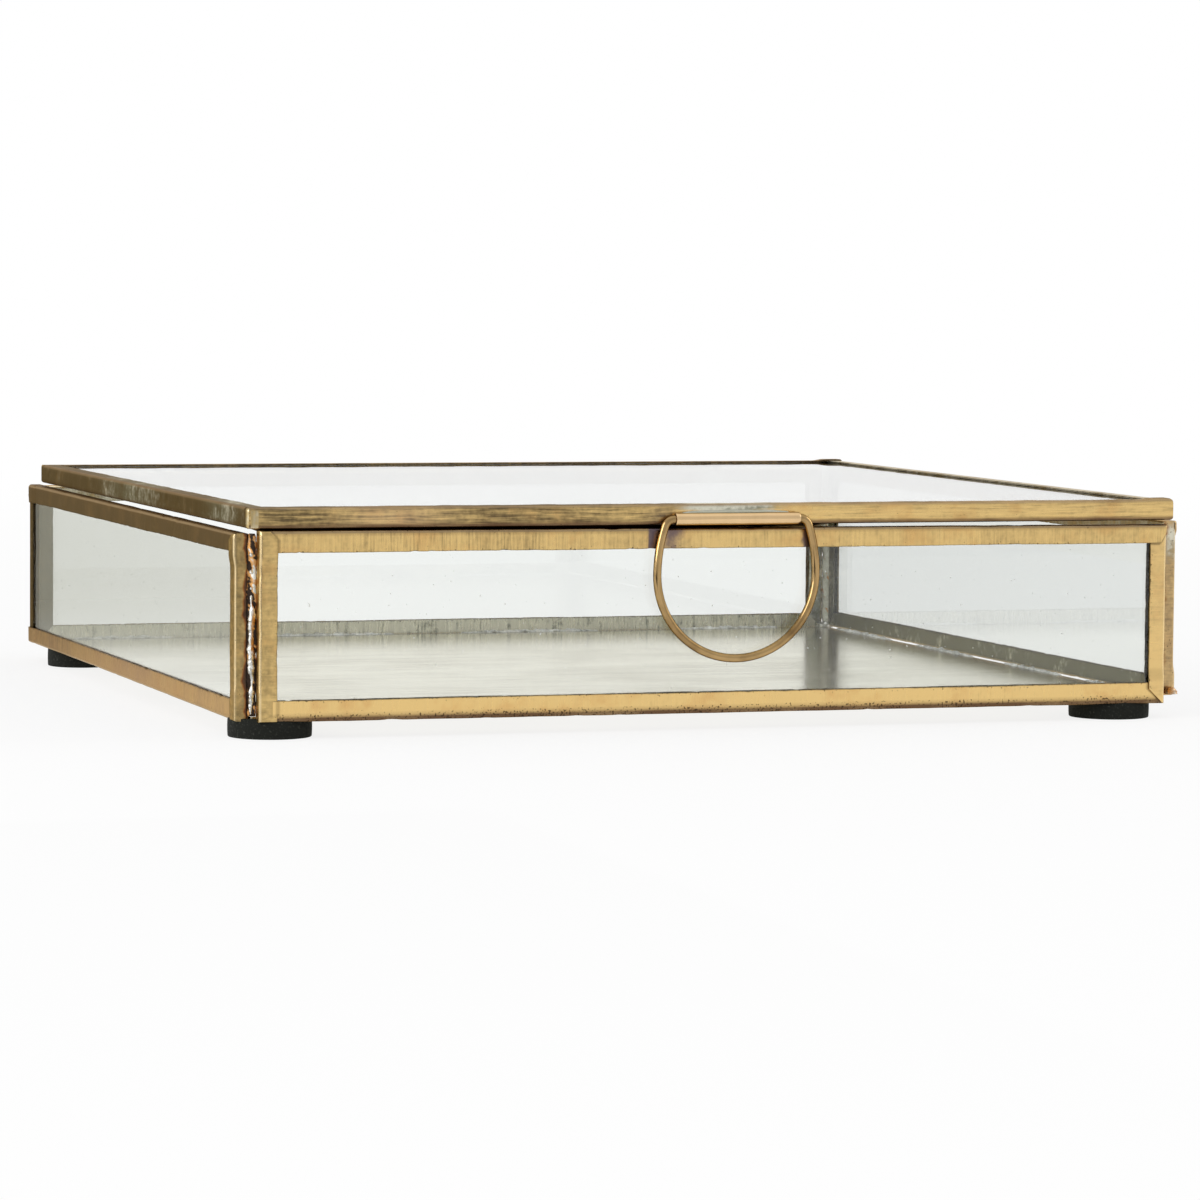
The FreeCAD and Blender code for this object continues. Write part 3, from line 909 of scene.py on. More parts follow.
@dataclass
class Strip:
    """One folded strip: its length, its frame of axes and the joints of its outer lip."""

    name: str
    length: float
    channel: Channel
    origin: Array
    along: Array
    inward: Array
    outward: Array
    joints: tuple[Joint, Joint]
    clips: tuple[Clip, Clip]
    tone: Tone
    lot: int
    seam_side: bool = False
    rows_apart: float = 0.8
    cut_back: float = 0.12
    tuck: float = 0.8
    hairline: float = 0.03
    lift: float = 0.31
    droop: Profile = LEVEL
    lift_zone: tuple[float, float] = (2.8, 0.2)
    end_zone: float = 7.0
    end_rows: int = 20
    edge_waves: Profile = ((0.035, 60.0), (0.014, 3.2))
    lip_wave: tuple[float, float] = (0.05, 30.0)
    web_wave: tuple[float, float] = (0.016, 24.0)
    burn_wave: tuple[float, float] = (0.38, 11.0)
    joint_shadow_line: tuple[float, float] = (0.10, 0.20)
    rim_wide: float = 0.9
    lengthwise_grain: tuple[float, float] = (0.05, 14.0)
    nick: Knocks = Knocks(14.0, 5.0, (0.25, 0.7), (0.02, 0.14))
    dent: Knocks = Knocks(12.0, 4.0, (0.5, 1.3), (0.03, 0.13))
    dent_levels: tuple[float, ...] = (-1.0, 0.2, 1.0)
    dent_high: float = 0.9
    dent_inset: float = 0.2
    dent_share: float = 0.75
    # Where the painted shade lies: the share of the depth that is fully dark, and the zones of the lower and upper
    # folds.
    shade_core: float = 0.45
    under_zone: tuple[float, float] = (0.35, -0.15)
    over_zone: tuple[float, float] = (-0.5, -0.15)
    over_reach: float = 0.4
    pit_zone: tuple[float, float] = (1.5, 0.9)
    burn_zone: tuple[float, float] = (0.15, -1.15)
    web_zone: float = 0.1

    def inset(self, joint: Joint, clip: Clip, reach: Array) -> Array:
        """How far each point of the outer lip stops short of the strip's end.

        A lip on top runs to the end, a clipped one loses its free corner to a slanting line, and those below
        end just under the one that covers them.

        Args:
            joint: The joint.
            clip: Its cut.
            reach: Distances from the web.

        Returns:
            Distances from the end.
        """
        lip = self.channel.lip
        over = np.minimum(reach, self.cut_back)
        if joint is Joint.OVER:
            return over
        if joint is Joint.CLIPPED:
            return over + clip.slope * np.maximum(0, reach - clip.begin)
        if joint is Joint.UNDER:
            return np.where(reach > self.channel.bend, lip - self.tuck, reach)
        slant = (reach - self.cut_back) / clip.slope + clip.begin - self.tuck
        return np.minimum(lip - self.tuck, np.maximum(reach, slant))

    def covered(self, joint: Joint, clip: Clip, edge: Array, reach: Array) -> Array:
        """How dark the painted shadow line is on a lip that another lip lies on.

        A bell curve of the distance past the covering lip's outline: its own edge, or its slanting cut.

        Args:
            joint: The joint of this strip's end.
            clip: Its cut.
            edge: Distances from that end.
            reach: Distances from the web.

        Returns:
            Shares from 0 to 1.
        """
        if joint not in (Joint.UNDER, Joint.TUCKED):
            return np.zeros_like(edge)
        slope = clip.slope if joint is Joint.TUCKED else 0.0
        cut = self.cut_back + slope * np.maximum(0, edge - clip.begin)
        past = np.maximum(edge - self.channel.lip, cut - reach)
        middle, wide = self.joint_shadow_line
        return np.exp(-(((past - middle) / wide) ** 2))

    def rows(self) -> Array:
        """Where sections stand, closer together near the ends.

        Returns:
            Shares of the length.
        """
        end = self.end_zone
        close = np.linspace(0, end, self.end_rows)
        middle = np.arange(end, self.length - end, self.rows_apart)[1:]
        places = np.concatenate([close, middle, (self.length - close)[::-1]])
        return places / self.length

    def add_to(self, skin: Skin) -> None:
        """Carry the section along the strip.

        Each point of the section runs from its own start to its own end, so that the ends take the shape of
        their joints. Lips on top are lifted by the sheet below them and follow its fold down at the end. The
        lips' edges wander and are nicked, the web is a little wavy, and the inner lip's edge may droop.

        Args:
            skin: The piece that the strip belongs to.
        """
        channel, half = self.channel, self.channel.thickness / 2
        outer_reach, outer_through = channel.outline(0.0)
        inner_reach, inner_through = channel.outline(channel.gauge)
        count = len(outer_reach)
        top = outer_through > half - channel.bend + TINY
        below = outer_through < -(half - channel.bend) - TINY
        raised = np.clip((outer_through - (half - channel.bend)) / channel.bend, 0, 1)
        rows = self.rows()[:, None]
        sheets = []
        for reach, through in ((outer_reach, outer_through), (inner_reach, inner_through)):
            mitre = reach + np.where(below & (outer_reach > channel.bend), self.hairline, 0)
            pairs = zip(self.joints, self.clips)
            inset = [np.where(top, self.inset(joint, clip, outer_reach), mitre) for joint, clip in pairs]
            start, stop = -self.length / 2 + inset[0], self.length / 2 - inset[1]
            s = start + rows * (stop - start)
            t = np.broadcast_to(reach, s.shape)
            w = np.broadcast_to(through, s.shape)
            for joint, edge in zip(self.joints, (s + self.length / 2, self.length / 2 - s)):
                if joint in (Joint.OVER, Joint.CLIPPED):
                    fallen = np.minimum(w, through.max() - channel.drop(edge))
                    far, near = (channel.lip + zone for zone in self.lift_zone)
                    on_top = self.lift * raised * smooth(edge, far, near)
                    w = np.where(top, fallen, w) + on_top
            free = np.clip((outer_reach - channel.bend) / (channel.lip - channel.bend), 0, 1)
            for lot, side in ((self.lot, top), (self.lot + 500, below)):
                waves = enumerate(self.edge_waves)
                wander = sum(high * ripple(s, lot + 7 * step, length) for step, (high, length) in waves)
                t = t + np.where(side, free * (wander - self.nicks(s, lot + 11)), 0)
            high, length = self.lip_wave
            w = w + np.sign(through) * free * high * np.abs(ripple(s, self.lot + 3, length))
            w = w - np.where(below, free, 0) * np.interp(s, *zip(*self.droop))
            high, length = self.web_wave
            t = t + (1 - free) * np.where(outer_reach < channel.bend, high * ripple(s, self.lot + 5, length), 0)
            t = t + self.dents(s, outer_through) * (outer_reach < self.dent_share * channel.bend)
            sheets.append((s, t, w))
        s, t, w = (np.concatenate([outer, inner[:, ::-1]], 1) for outer, inner in zip(*sheets))
        points = self.origin + s[..., None] * self.along + t[..., None] * self.inward + w[..., None] * self.outward
        column = np.arange(count - 1)
        caps = np.stack([column, column + 1, 2 * count - 2 - column, 2 * count - 1 - column], -1)
        last = (len(rows) - 1) * 2 * count
        marks = self.marks(s, outer_reach, outer_through)
        skin.add(points, [grid_faces(len(rows), 2 * count, False), caps, caps + last], marks)

    def nicks(self, s: Array, lot: int) -> Array:
        """Small bites out of a lip's edge: a few narrow bell curves.

        Args:
            s: Places along the strip.
            lot: Number that settles the bites.

        Returns:
            Depths of the bites.
        """
        draw = np.random.default_rng(lot)
        number = self.nick.count(self.length)
        at = draw.uniform(*self.nick.span(self.length), number)
        wide = draw.uniform(*self.nick.wide, number)
        deep = draw.uniform(*self.nick.deep, number)
        return (deep * np.exp(-(((s[..., None] - at) / wide) ** 2))).sum(-1)

    def dents(self, s: Array, through: Array) -> Array:
        """Small knocks on the web and folds: bell curves in both directions.

        Args:
            s: Places along the strip.
            through: Places through its thickness.

        Returns:
            Depths of the knocks.
        """
        draw = np.random.default_rng(self.lot + 17)
        number = self.dent.count(self.length)
        at = draw.uniform(*self.dent.span(self.length), number)
        level = draw.choice(self.dent_levels, number) * (self.channel.thickness / 2 - self.dent_inset)
        wide = draw.uniform(*self.dent.wide, number)
        deep = draw.uniform(*self.dent.deep, number)
        away = ((s[..., None] - at) / wide) ** 2 + ((through[:, None] - level) / self.dent_high) ** 2
        return (deep * np.exp(-away)).sum(-1)

    def marks(self, s: Array, reach: Array, through: Array) -> dict[str, Array | float]:
        """The marks that the finish reads, for both faces of the sheet.

        Each is a ramp or a bell of the place along the strip, the distance from its web or the place through it.

        Args:
            s: Places along the strip, for the whole grid.
            reach: Distances of one face's points from the web.
            through: Places of one face's points through the thickness.

        Returns:
            Values by the marks' names.
        """
        channel, half = self.channel, self.channel.thickness / 2

        def both(values: Array) -> Array:
            """One face's values, given to both faces and all rows."""
            return np.broadcast_to(np.concatenate([values, values[::-1]]), s.shape)

        steps = np.hypot(np.diff(reach), np.diff(through))
        across = np.concatenate([[0.0], np.cumsum(steps)])
        turn = (channel.bend - reach) / channel.bend
        bent = np.where((reach < channel.bend) & (np.abs(through) > half - channel.bend + TINY), 1.0, 0.0)
        rim = smooth(reach, channel.lip - self.rim_wide, channel.lip)
        run, span = self.lengthwise_grain if self.tone.lengthwise else (1.0, 1.0)
        top = both(np.where(through > half - channel.bend + TINY, 1.0, 0.0))
        edges = (s + self.length / 2, self.length / 2 - s)
        ends = zip(self.joints, self.clips, edges)
        lines = [self.covered(joint, clip, edge, both(reach)) for joint, clip, edge in ends]
        # Painted shade: the outer fold and web darken towards the web (shade), the lower fold (under) and the upper
        # fold (over).
        depth = self.tone.depth
        shade = smooth(reach, depth, self.shade_core * depth) * np.where(through > channel.bend - half, 1.0, 0.0)
        under = smooth(through, *(channel.bend - half + zone for zone in self.under_zone))
        over = smooth(through, *(half + zone for zone in self.over_zone))
        over = over * smooth(reach, channel.bend + self.over_reach, channel.bend)
        inside = np.where(through < -half + channel.bend * 0.5, 1.0, 0.0)
        level = both(through)
        tints = {kind: self.tone.along(s, level, kind) for kind in ("patina", "blush", "smoke", "grain")}
        tints["patina"] = tints["patina"] + both(smooth(reach, channel.bend * 0.5, channel.bend)) * self.tone.lip
        marks = {
            **tints,
            "along": s * run,
            "across": both(across - across[-1] / 2) * span,
            # A painted shadow line where another lip covers this one.
            "joint": top * np.maximum(*lines),
            "shade": both(shade * self.tone.shade + under * self.tone.under + over * self.tone.over),
            "drab": self.tone.drab,
            "lot": float(self.lot % LOT_CYCLE) * LOT_STEP,
            "fold": both(bent * np.sin(np.clip(turn, 0, 1) * math.pi)),
            "rim": both(rim),
            "inside": np.maximum(both(inside) * self.tone.tin, self.tone.along(s, level, "tinned")),
            "pitted": both(smooth(reach, *(zone * depth for zone in self.pit_zone))) * self.tone.pitted,
        }
        # Burn on the web beside a seam, deepest at its edge, where it also paints the shadow of the gap.
        if self.seam_side:
            web = np.where(reach < self.web_zone, 1.0, 0.0)
            high, length = self.burn_wave
            edge = level + high * ripple(s, self.lot + 23, length)
            marks["burn"] = both(web) * smooth(edge, *self.burn_zone) * self.tone.burn
        return marks


@dataclass(frozen=True)
class CornerTab:
    """The end of a lid's front strip, folded round the left corner and pressed on the side strip."""

    side: str = "front"
    start: float = 3.2
    reach: float = 1.55
    bend: float = 0.75
    stand_off: float = 0.33
    gauge: float = 0.28
    edge: float = 0.55
    press: float = 0.015
    short: float = 0.05
    inner_share: float = 0.96
    end_ease: tuple[float, float] = (0.12, 0.5)
    start_ease: tuple[float, float] = (0.16, 1.6)

    def add_to(self, skin: Skin, low: Array, high: Array) -> None:
        """Carry an upright section round the corner.

        In plan the path runs straight along the front, a quarter circle round the corner and straight along
        the side. The section is a thin sheet whose upper and lower edges curve inwards like the strip's folds.

        Args:
            skin: The piece that gets the tab.
            low: Low corner of the lid's frame.
            high: High corner of the lid's frame.
        """
        left, front = low[0] - self.stand_off, low[1] - self.press
        turn = quarter(12)
        run = np.linspace(low[0] + self.start, left + self.bend, 8)[:-1]
        back = np.linspace(front + self.bend, low[1] + self.reach, 7)[1:]
        x = np.concatenate([run, left + self.bend - self.bend * np.sin(turn), np.full(len(back), left)])
        y = np.concatenate([np.full(len(run), front), front + self.bend - self.bend * np.cos(turn), back])
        angle = np.concatenate([np.zeros(len(run)), turn, np.full(len(back), RIGHT_ANGLE)])
        normal = np.stack([-np.sin(angle), -np.cos(angle), np.zeros_like(angle)], -1)
        half = (high[2] - low[2]) / 2
        rise = (half - self.short) * np.sin(np.linspace(-RIGHT_ANGLE, RIGHT_ANGLE, 19))
        short = np.clip(self.edge - (half - np.abs(rise)), 0, self.edge)
        drop = self.edge - np.sqrt(self.edge**2 - short**2)
        depth = np.concatenate([drop, (drop + self.gauge)[::-1]])
        level = np.concatenate([rise, rise[::-1] * self.inner_share])
        (end_in, end_over), (start_in, start_over) = self.end_ease, self.start_ease
        ease = end_in * smooth(y, low[1] + self.reach - end_over, low[1] + self.reach)
        ease += start_in * smooth(x, low[0] + self.start - start_over, low[0] + self.start)
        middle = np.stack([x, y, np.full_like(x, (low[2] + high[2]) / 2)], -1)
        rings = middle[:, None] - (depth + ease[:, None])[..., None] * normal[:, None] + level[:, None] * AXES[2]
        along = np.broadcast_to((x - low[0])[:, None], rings.shape[:2])
        across = np.broadcast_to(level, along.shape)
        tints = {"patina": 0.35, "grain": 0.3, "lot": 31.0, "inside": 0.45}
        skin.loft(rings, marks={"along": along, "across": across, **tints})


@dataclass
class Frame:
    """A pane with a folded strip along each edge."""

    name: str
    body: str
    across: int
    up: int
    outward: Array
    sides: tuple[str, str]
    ends: tuple[str, str]
    corners: tuple[Corner, Corner, Corner, Corner]
    tones: Mapping[str, Tone]
    gauge: float
    bend: float
    lip: float = 3.3
    lot: int = 0
    rise: Profile = LEVEL
    sag: Profile = LEVEL
    clips: tuple[Clip, Clip, Clip, Clip] = (Clip(), Clip(), Clip(), Clip())
    tab: CornerTab | None = None
    thinned: float = 0.04

    def settle(self, skin: Skin) -> None:
        """Stretch the upper lip upwards and the lower one downwards, by amounts along the way from the low end.

        Args:
            skin: The piece to stretch.
        """
        low, high = self.limits()
        for points in skin.points:
            share = (points[:, self.across] - low[self.across]) / (high - low)[self.across]
            upper = np.clip(1 + (points[:, self.up] - high[self.up]) / self.lip, 0, 1)
            lower = np.clip(1 - (points[:, self.up] - low[self.up]) / self.lip, 0, 1)
            points[:, self.up] += upper * np.interp(share, *zip(*self.rise)) - lower * np.interp(share, *zip(*self.sag))

    def limits(self) -> tuple[Array, Array]:
        """The low and the high corner of the four strips' nodes."""
        boxes = [np.array(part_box(self.node(side))) / MM for side in (*self.sides, *self.ends)]
        return np.min([box[0] for box in boxes], 0), np.max([box[1] for box in boxes], 0)

    def node(self, side: str) -> str:
        """The node of one strip."""
        return f"{self.name}_{side}_strip"

    def strips(self) -> list[Strip]:
        """The four strips, sized and placed by the boxes of their nodes.

        Returns:
            The two strips at the sides, then the two at the ends.
        """
        low, high = self.limits()
        middle, size = (low + high) / 2, high - low
        through = int(np.argmax(np.abs(self.outward)))
        channel = Channel(size[through], self.lip, self.gauge - self.thinned, self.bend)
        made = []
        directions = ((self.across, self.up, self.sides, 0), (self.up, self.across, self.ends, 1))
        for axis, run, names, kind in directions:
            for place, (side, sign) in enumerate(zip(names, (-1, 1))):
                pair = (place, place + 2) if kind == 0 else (2 * place, 2 * place + 1)
                joints = tuple(self.corners[corner].value[kind] for corner in pair)
                clips = tuple(self.clips[corner] for corner in pair)
                origin = middle + sign * size[axis] / 2 * AXES[axis]
                lot = 1000 * self.lot + 100 * kind + 50 * place + 1
                tone, name = self.tones[side], self.node(side)
                seam = kind == 0 and self.body == "tray"
                axes = (AXES[run], -sign * AXES[axis], self.outward)
                strip = Strip(name, size[run], channel, origin, *axes, joints, clips, tone, lot, seam)
                strip.droop = DROOPS.get(name, LEVEL)
                made.append(strip)
        return made

    def build(self, brass: bpy.types.Material, glass: bpy.types.Material) -> None:
        """Make the strips and dress the pane.

        Args:
            brass: Finish of the strips.
            glass: Finish of the pane.
        """
        for strip in self.strips():
            skin = Skin()
            strip.add_to(skin)
            if self.tab and strip.name == self.node(self.tab.side):
                self.tab.add_to(skin, *self.limits())
            self.settle(skin)
            skin.piece(f"{strip.name}_brass", self.body, "strip_brass", brass, [strip.name])
        dress(f"{self.name}_pane", glass)


def dress(node: str, material: bpy.types.Material) -> None:
    """Give a node that stays its finish.

    Args:
        node: Name of the node.
        material: The finish.
    """
    for place in frame["nodes"][node].material_slots:
        place.material = material
    LOG.info("%s: keeps its solid", node)


def carried(path: Array, radius: Array | float, start: Array, sides: int = 24) -> Array:
    """Circles carried along a path.

    Each ring stands square to the path; its first axis is the fixed direction start made square to the path,
    its second is the cross product of the path's direction with the first.

    Args:
        path: Points of the path.
        radius: One radius, or one for each point of every ring.
        start: A direction that the path never takes.
        sides: Points of a ring.

    Returns:
        Rings by points by three.
    """
    heading = np.gradient(path, axis=0)
    heading /= np.linalg.norm(heading, axis=1, keepdims=True)
    first = start - heading * (heading @ start)[:, None]
    first /= np.linalg.norm(first, axis=1, keepdims=True)
    second = np.cross(heading, first)
    angle = circle(sides)
    ring = np.cos(angle)[:, None] * first[:, None] + np.sin(angle)[:, None] * second[:, None]
    return path[:, None] + np.broadcast_to(radius, ring.shape[:2])[..., None] * ring


def path_marks(path: Array, sides: int, lot: int, patina: float) -> dict[str, Array | float]:
    """The marks of a wire: how far along it, how far round it, its lot and its age.

    Args:
        path: Points of its middle line.
        sides: Points of a ring.
        lot: Number that settles its bands.
        patina: Its age; a ripple along the wire is added.

    Returns:
        Values by the marks' names.
    """
    run = np.concatenate([[0.0], np.cumsum(np.linalg.norm(np.diff(path, axis=0), axis=1))])
    turn = np.abs(np.linspace(-1, 1, sides, endpoint=False))
    shape = (len(path), sides)
    high, length = WIRE_BANDS
    return {
        "along": np.broadcast_to(run[:, None], shape),
        "around": np.broadcast_to(turn, shape),
        "lot": float(lot),
        "patina": patina + high * np.broadcast_to(ripple(run, lot, length)[:, None], shape),
    }


def tube_rings(x: Array, centre: tuple[float, float], radius: float, wall: float, lot: int, sides: int = 28) -> Array:
    """A hollow tube along X: out along its outer face and back along its inner face.

    Args:
        x: Places along the tube, from end to end.
        centre: Y and Z of its axis.
        radius: Outside radius.
        wall: Thickness of its wall.
        lot: Number that settles its small dents.
        sides: Points of a ring.

    Returns:
        Rings that close on the first.
    """
    angle = circle(sides)
    ease = TUBE_EASE * wall
    high, length = TUBE_DENTS
    places = np.concatenate([[x[0]], x[1:-1], [x[-1], x[-1]], x[1:-1][::-1], [x[0]]])
    reach = np.concatenate([
        [radius - ease], np.full(len(x) - 2, radius), [radius - ease, radius - wall + ease],
        np.full(len(x) - 2, radius - wall), [radius - wall + ease],
    ])
    reach = reach[:, None] + high * radius * lumps(places[:, None], angle[None, :], lot, length)
    return np.stack([
        np.broadcast_to(places[:, None], reach.shape),
        centre[0] + reach * np.cos(angle),
        centre[1] + reach * np.sin(angle),
    ], -1)


def bead(
    x: Array,
    section: Array,
    lot: int,
    along: Array,
    first: Array,
    second: Array,
    base: Array,
    rough: float,
    blunt: float = 0.35,
) -> Array:
    """A run of solder: a section carried along a line, thinned to nothing at both ends and lumpy between.

    The section is scaled by a power of a parabola along the run and by lumps that run along and round it.

    Args:
        x: Places along the run.
        section: Points of the section, in the first and second direction.
        lot: Number that settles the lumps.
        along: Direction of the run.
        first: First direction of the section.
        second: Second direction of the section.
        base: Where the run's own zero lies.
        rough: Height of the lumps as a share of the section.
        blunt: Power of the taper; the smaller, the blunter the ends.

    Returns:
        Rings by points by three.
    """
    share = (x - x[0]) / (x[-1] - x[0])
    taper = np.clip(4 * share * (1 - share), RUN_END, 1) ** blunt
    angle = np.arctan2(section[:, 1], section[:, 0])
    scale = taper[:, None] * (1 + rough * lumps(x[:, None], angle[None, :], lot, RUN_LUMP))
    flat = scale[..., None] * section
    return base + x[:, None, None] * along + flat[..., :1] * first + flat[..., 1:] * second


def dome(centre: Array, radii: Point, lot: int, rough: float = 0.12) -> Array:
    """A drop of solder: an ellipsoid with lumps, flat below its middle.

    Args:
        centre: Middle of its base.
        radii: Half sizes along X, Y and Z.
        lot: Number that settles the lumps.
        rough: Height of the lumps as a share of the radii.

    Returns:
        Rings from the base to the top.
    """
    rise = np.linspace(DROP_START, DROP_END, 14)[:, None]
    angle = circle(28)[None, :]
    scale = 1 + rough * lumps(rise * 3.0, angle, lot, 5.0)
    ball = np.stack([
        np.cos(rise) * np.cos(angle),
        np.cos(rise) * np.sin(angle),
        np.broadcast_to(np.maximum(np.sin(rise), DROP_SUNK), scale.shape),
    ], -1)
    return centre + ball * scale[..., None] * np.array(radii)


@dataclass(frozen=True)
class Seam:
    """One seam: its corner, the signs of its place, its stain and dullness, how far in it lies, and its bead."""

    corner: str
    side: int
    end: int
    stain: float
    dull: float
    sunk: float
    beaded: bool = False


@dataclass
class Seams:
    """Solder in the notch of each corner of the tray: a stained fillet, and on one a bright bead and drops."""

    half: float = 90.0
    middle: float = 2.86
    half_wide: float = 1.02
    half_deep: float = 0.36
    bottom: float = 4.0
    top: float = 36.0
    rough: float = 0.14
    bead_top: float = 25.3
    bead_radius: float = 0.56
    stand: float = 0.28
    aside: float = 0.14
    copper_side: float = math.radians(15)
    copper_edge: float = 1.2
    rows: int = 170
    bead_rows: int = 200
    sides: int = 26
    brown: tuple[float, float] = (24.0, 28.0)
    fillet_copper: tuple[float, float] = (23.0, 31.0)
    bead_copper: tuple[float, float] = (14.0, 25.0)
    bead_wander: tuple[float, float] = (0.14, 13.0)
    bead_stand: tuple[float, float] = (0.06, 7.0)
    blunt: float = 0.08
    stain_lumps: tuple[float, float] = (0.30, 8.0)
    brown_less: float = 0.26
    copper_less: float = 0.3
    copper_zone: tuple[float, float] = (0.25, 0.8)
    bead_start: float = 0.3
    bead_end: float = 0.002
    bead_blunt: float = 0.3
    bead_least: float = 0.82
    bead_more: float = 0.25
    bead_widens: tuple[float, float] = (12.0, 16.0)
    bead_pinch: tuple[float, float] = (0.32, 8.0)
    bead_limits: tuple[float, float] = (0.35, 1.5)
    bead_lumps: tuple[float, float] = (0.13, 3.4)
    bead_stain: float = 0.75
    bead_clean: float = 0.3
    drop_lumps: tuple[float, float] = (0.1, 5.0)
    drop_open: float = 0.15
    side_drop: Point = (89.0, -87.4, 4.5)
    side_drop_radii: Point = (1.2, 1.3, 1.2)
    drops: tuple[tuple[float, float, float], ...] = ((32.3, 0.10, 0.40), (29.3, 0.06, 0.38), (26.4, 0.1, 0.26))
    seams: tuple[Seam, ...] = (
        Seam("front_left", -1, -1, 0.95, 0.5, 0.0, True), Seam("front_right", 1, -1, 0.95, 0.2, 0.30),
        Seam("back_right", 1, 1, 0.05, 0.8, 0.0), Seam("back_left", -1, 1, 0.40, 0.6, 0.0),
    )

    def copper(self, z: Array, angle: Array, low: float, high: float) -> Array:
        """Where copper shows: between two levels, on the side towards the front wall.

        Args:
            z: Heights of the rings.
            angle: Angles of a ring's points.
            low: Lower level.
            high: Upper level.

        Returns:
            Shares for each ring and point.
        """
        edge = self.copper_edge
        level = smooth(z, low - edge, low + edge) * smooth(z, high + edge, high - edge)
        return level[:, None] * smooth(np.cos(angle + self.copper_side), *self.copper_zone)[None, :]

    def seam(self, look: Seam, lot: int) -> Skin:
        """One seam.

        The fillet is a flat lumpy bead between the two walls. The bright bead is a wandering round one whose
        radius swells and pinches. The drops are lumpy balls.

        Args:
            look: Where the seam is and how it looks.
            lot: Number that settles the lumps.

        Returns:
            The skin.
        """
        skin = Skin()
        inward = np.array([-look.side, -look.end, 0.0])
        base = np.array([look.side * self.half, look.end * self.half, 0.0]) + self.middle * inward
        wide, deep = np.array([-look.side, look.end, 0.0]) / math.sqrt(2), inward / math.sqrt(2)
        z = np.linspace(self.bottom, self.top, self.rows)
        angle = circle(self.sides)
        section = np.stack([self.half_wide * np.cos(angle), self.half_deep * np.sin(angle)], -1)
        rings = bead(z, section, 40 + lot, AXES[2], wide, deep, base + look.sunk * deep, self.rough, self.blunt)
        high, length = self.stain_lumps
        stain = look.stain + high * lumps(z[:, None], angle[None, :], 60 + lot, length)
        if look.beaded:
            copper = self.copper(z, angle, *self.fillet_copper)
            stain = stain - self.brown_less * smooth(z, *self.brown)[:, None] - self.copper_less * copper
        skin.loft(rings, marks={"stain": stain, "dull": look.dull})
        if look.beaded:
            self.bright(skin, base, wide, deep, lot)
        return skin

    def bright(self, skin: Skin, base: Array, wide: Array, deep: Array, lot: int) -> None:
        """Add the bright bead and the drops.

        The bead's radius is a power of a parabola along it, times a swell that widens upwards and ripples, times
        lumps. A drop's rings follow a half circle, times lumps.

        Args:
            skin: The seam's skin.
            base: Middle of the notch.
            wide: Direction across the seam.
            deep: Direction into the box.
            lot: Number that settles the lumps.
        """
        angle = circle(self.sides)
        z = np.linspace(self.bottom + self.bead_start, self.bead_top, self.bead_rows)
        (sway, sway_length), (lean, lean_length) = self.bead_wander, self.bead_stand
        aside = self.aside + sway * ripple(z, 70 + lot, sway_length)
        out = self.stand + lean * ripple(z, 80 + lot, lean_length)
        path = base + z[:, None] * AXES[2] + aside[:, None] * wide - out[:, None] * deep
        share = (z - z[0]) / (z[-1] - z[0])
        taper = np.clip(4 * share * (1 - share), self.bead_end, 1) ** self.bead_blunt
        high, length = self.bead_pinch
        swell = self.bead_least + self.bead_more * smooth(z, *self.bead_widens) + high * ripple(z, 90 + lot, length)
        radius = self.bead_radius * (taper * np.clip(swell, *self.bead_limits))[:, None]
        high, length = self.bead_lumps
        radius = radius * (1 + high * lumps(z[:, None], angle[None, :], 95 + lot, length))
        stain = self.bead_stain * self.copper(z, angle, *self.bead_copper) - self.bead_clean
        skin.loft(carried(path, radius, wide, self.sides), marks={"stain": stain})
        high, length = self.drop_lumps
        rise = np.linspace(-RIGHT_ANGLE + self.drop_open, RIGHT_ANGLE - self.drop_open, 14)
        for place, (level, aside_by, size) in enumerate(self.drops):
            centre = base + aside_by * wide - self.stand * deep
            column = centre + (level + size * np.sin(rise))[:, None] * AXES[2]
            uneven = 1 + high * lumps(rise[:, None] * 2, angle[None, :], 99 + place, length)
            lumpy = size * np.cos(rise)[:, None] * uneven
            skin.loft(carried(column, lumpy, wide, self.sides), marks={"stain": -0.2})

    def build(self, solder: bpy.types.Material) -> None:
        """Make the four seams; the front right one ends in a drop on the right wall.

        Args:
            solder: Finish of the seams.
        """
        for lot, look in enumerate(self.seams):
            skin = self.seam(look, lot)
            if look.corner == "front_right":
                drop = dome(np.array(self.side_drop), self.side_drop_radii, 71, 0.10)
                skin.loft(drop, marks={"stain": 0.42, "dull": 0.6})
            skin.piece(f"{look.corner}_solder", "tray", "solder", solder, [f"{look.corner}_seam"])


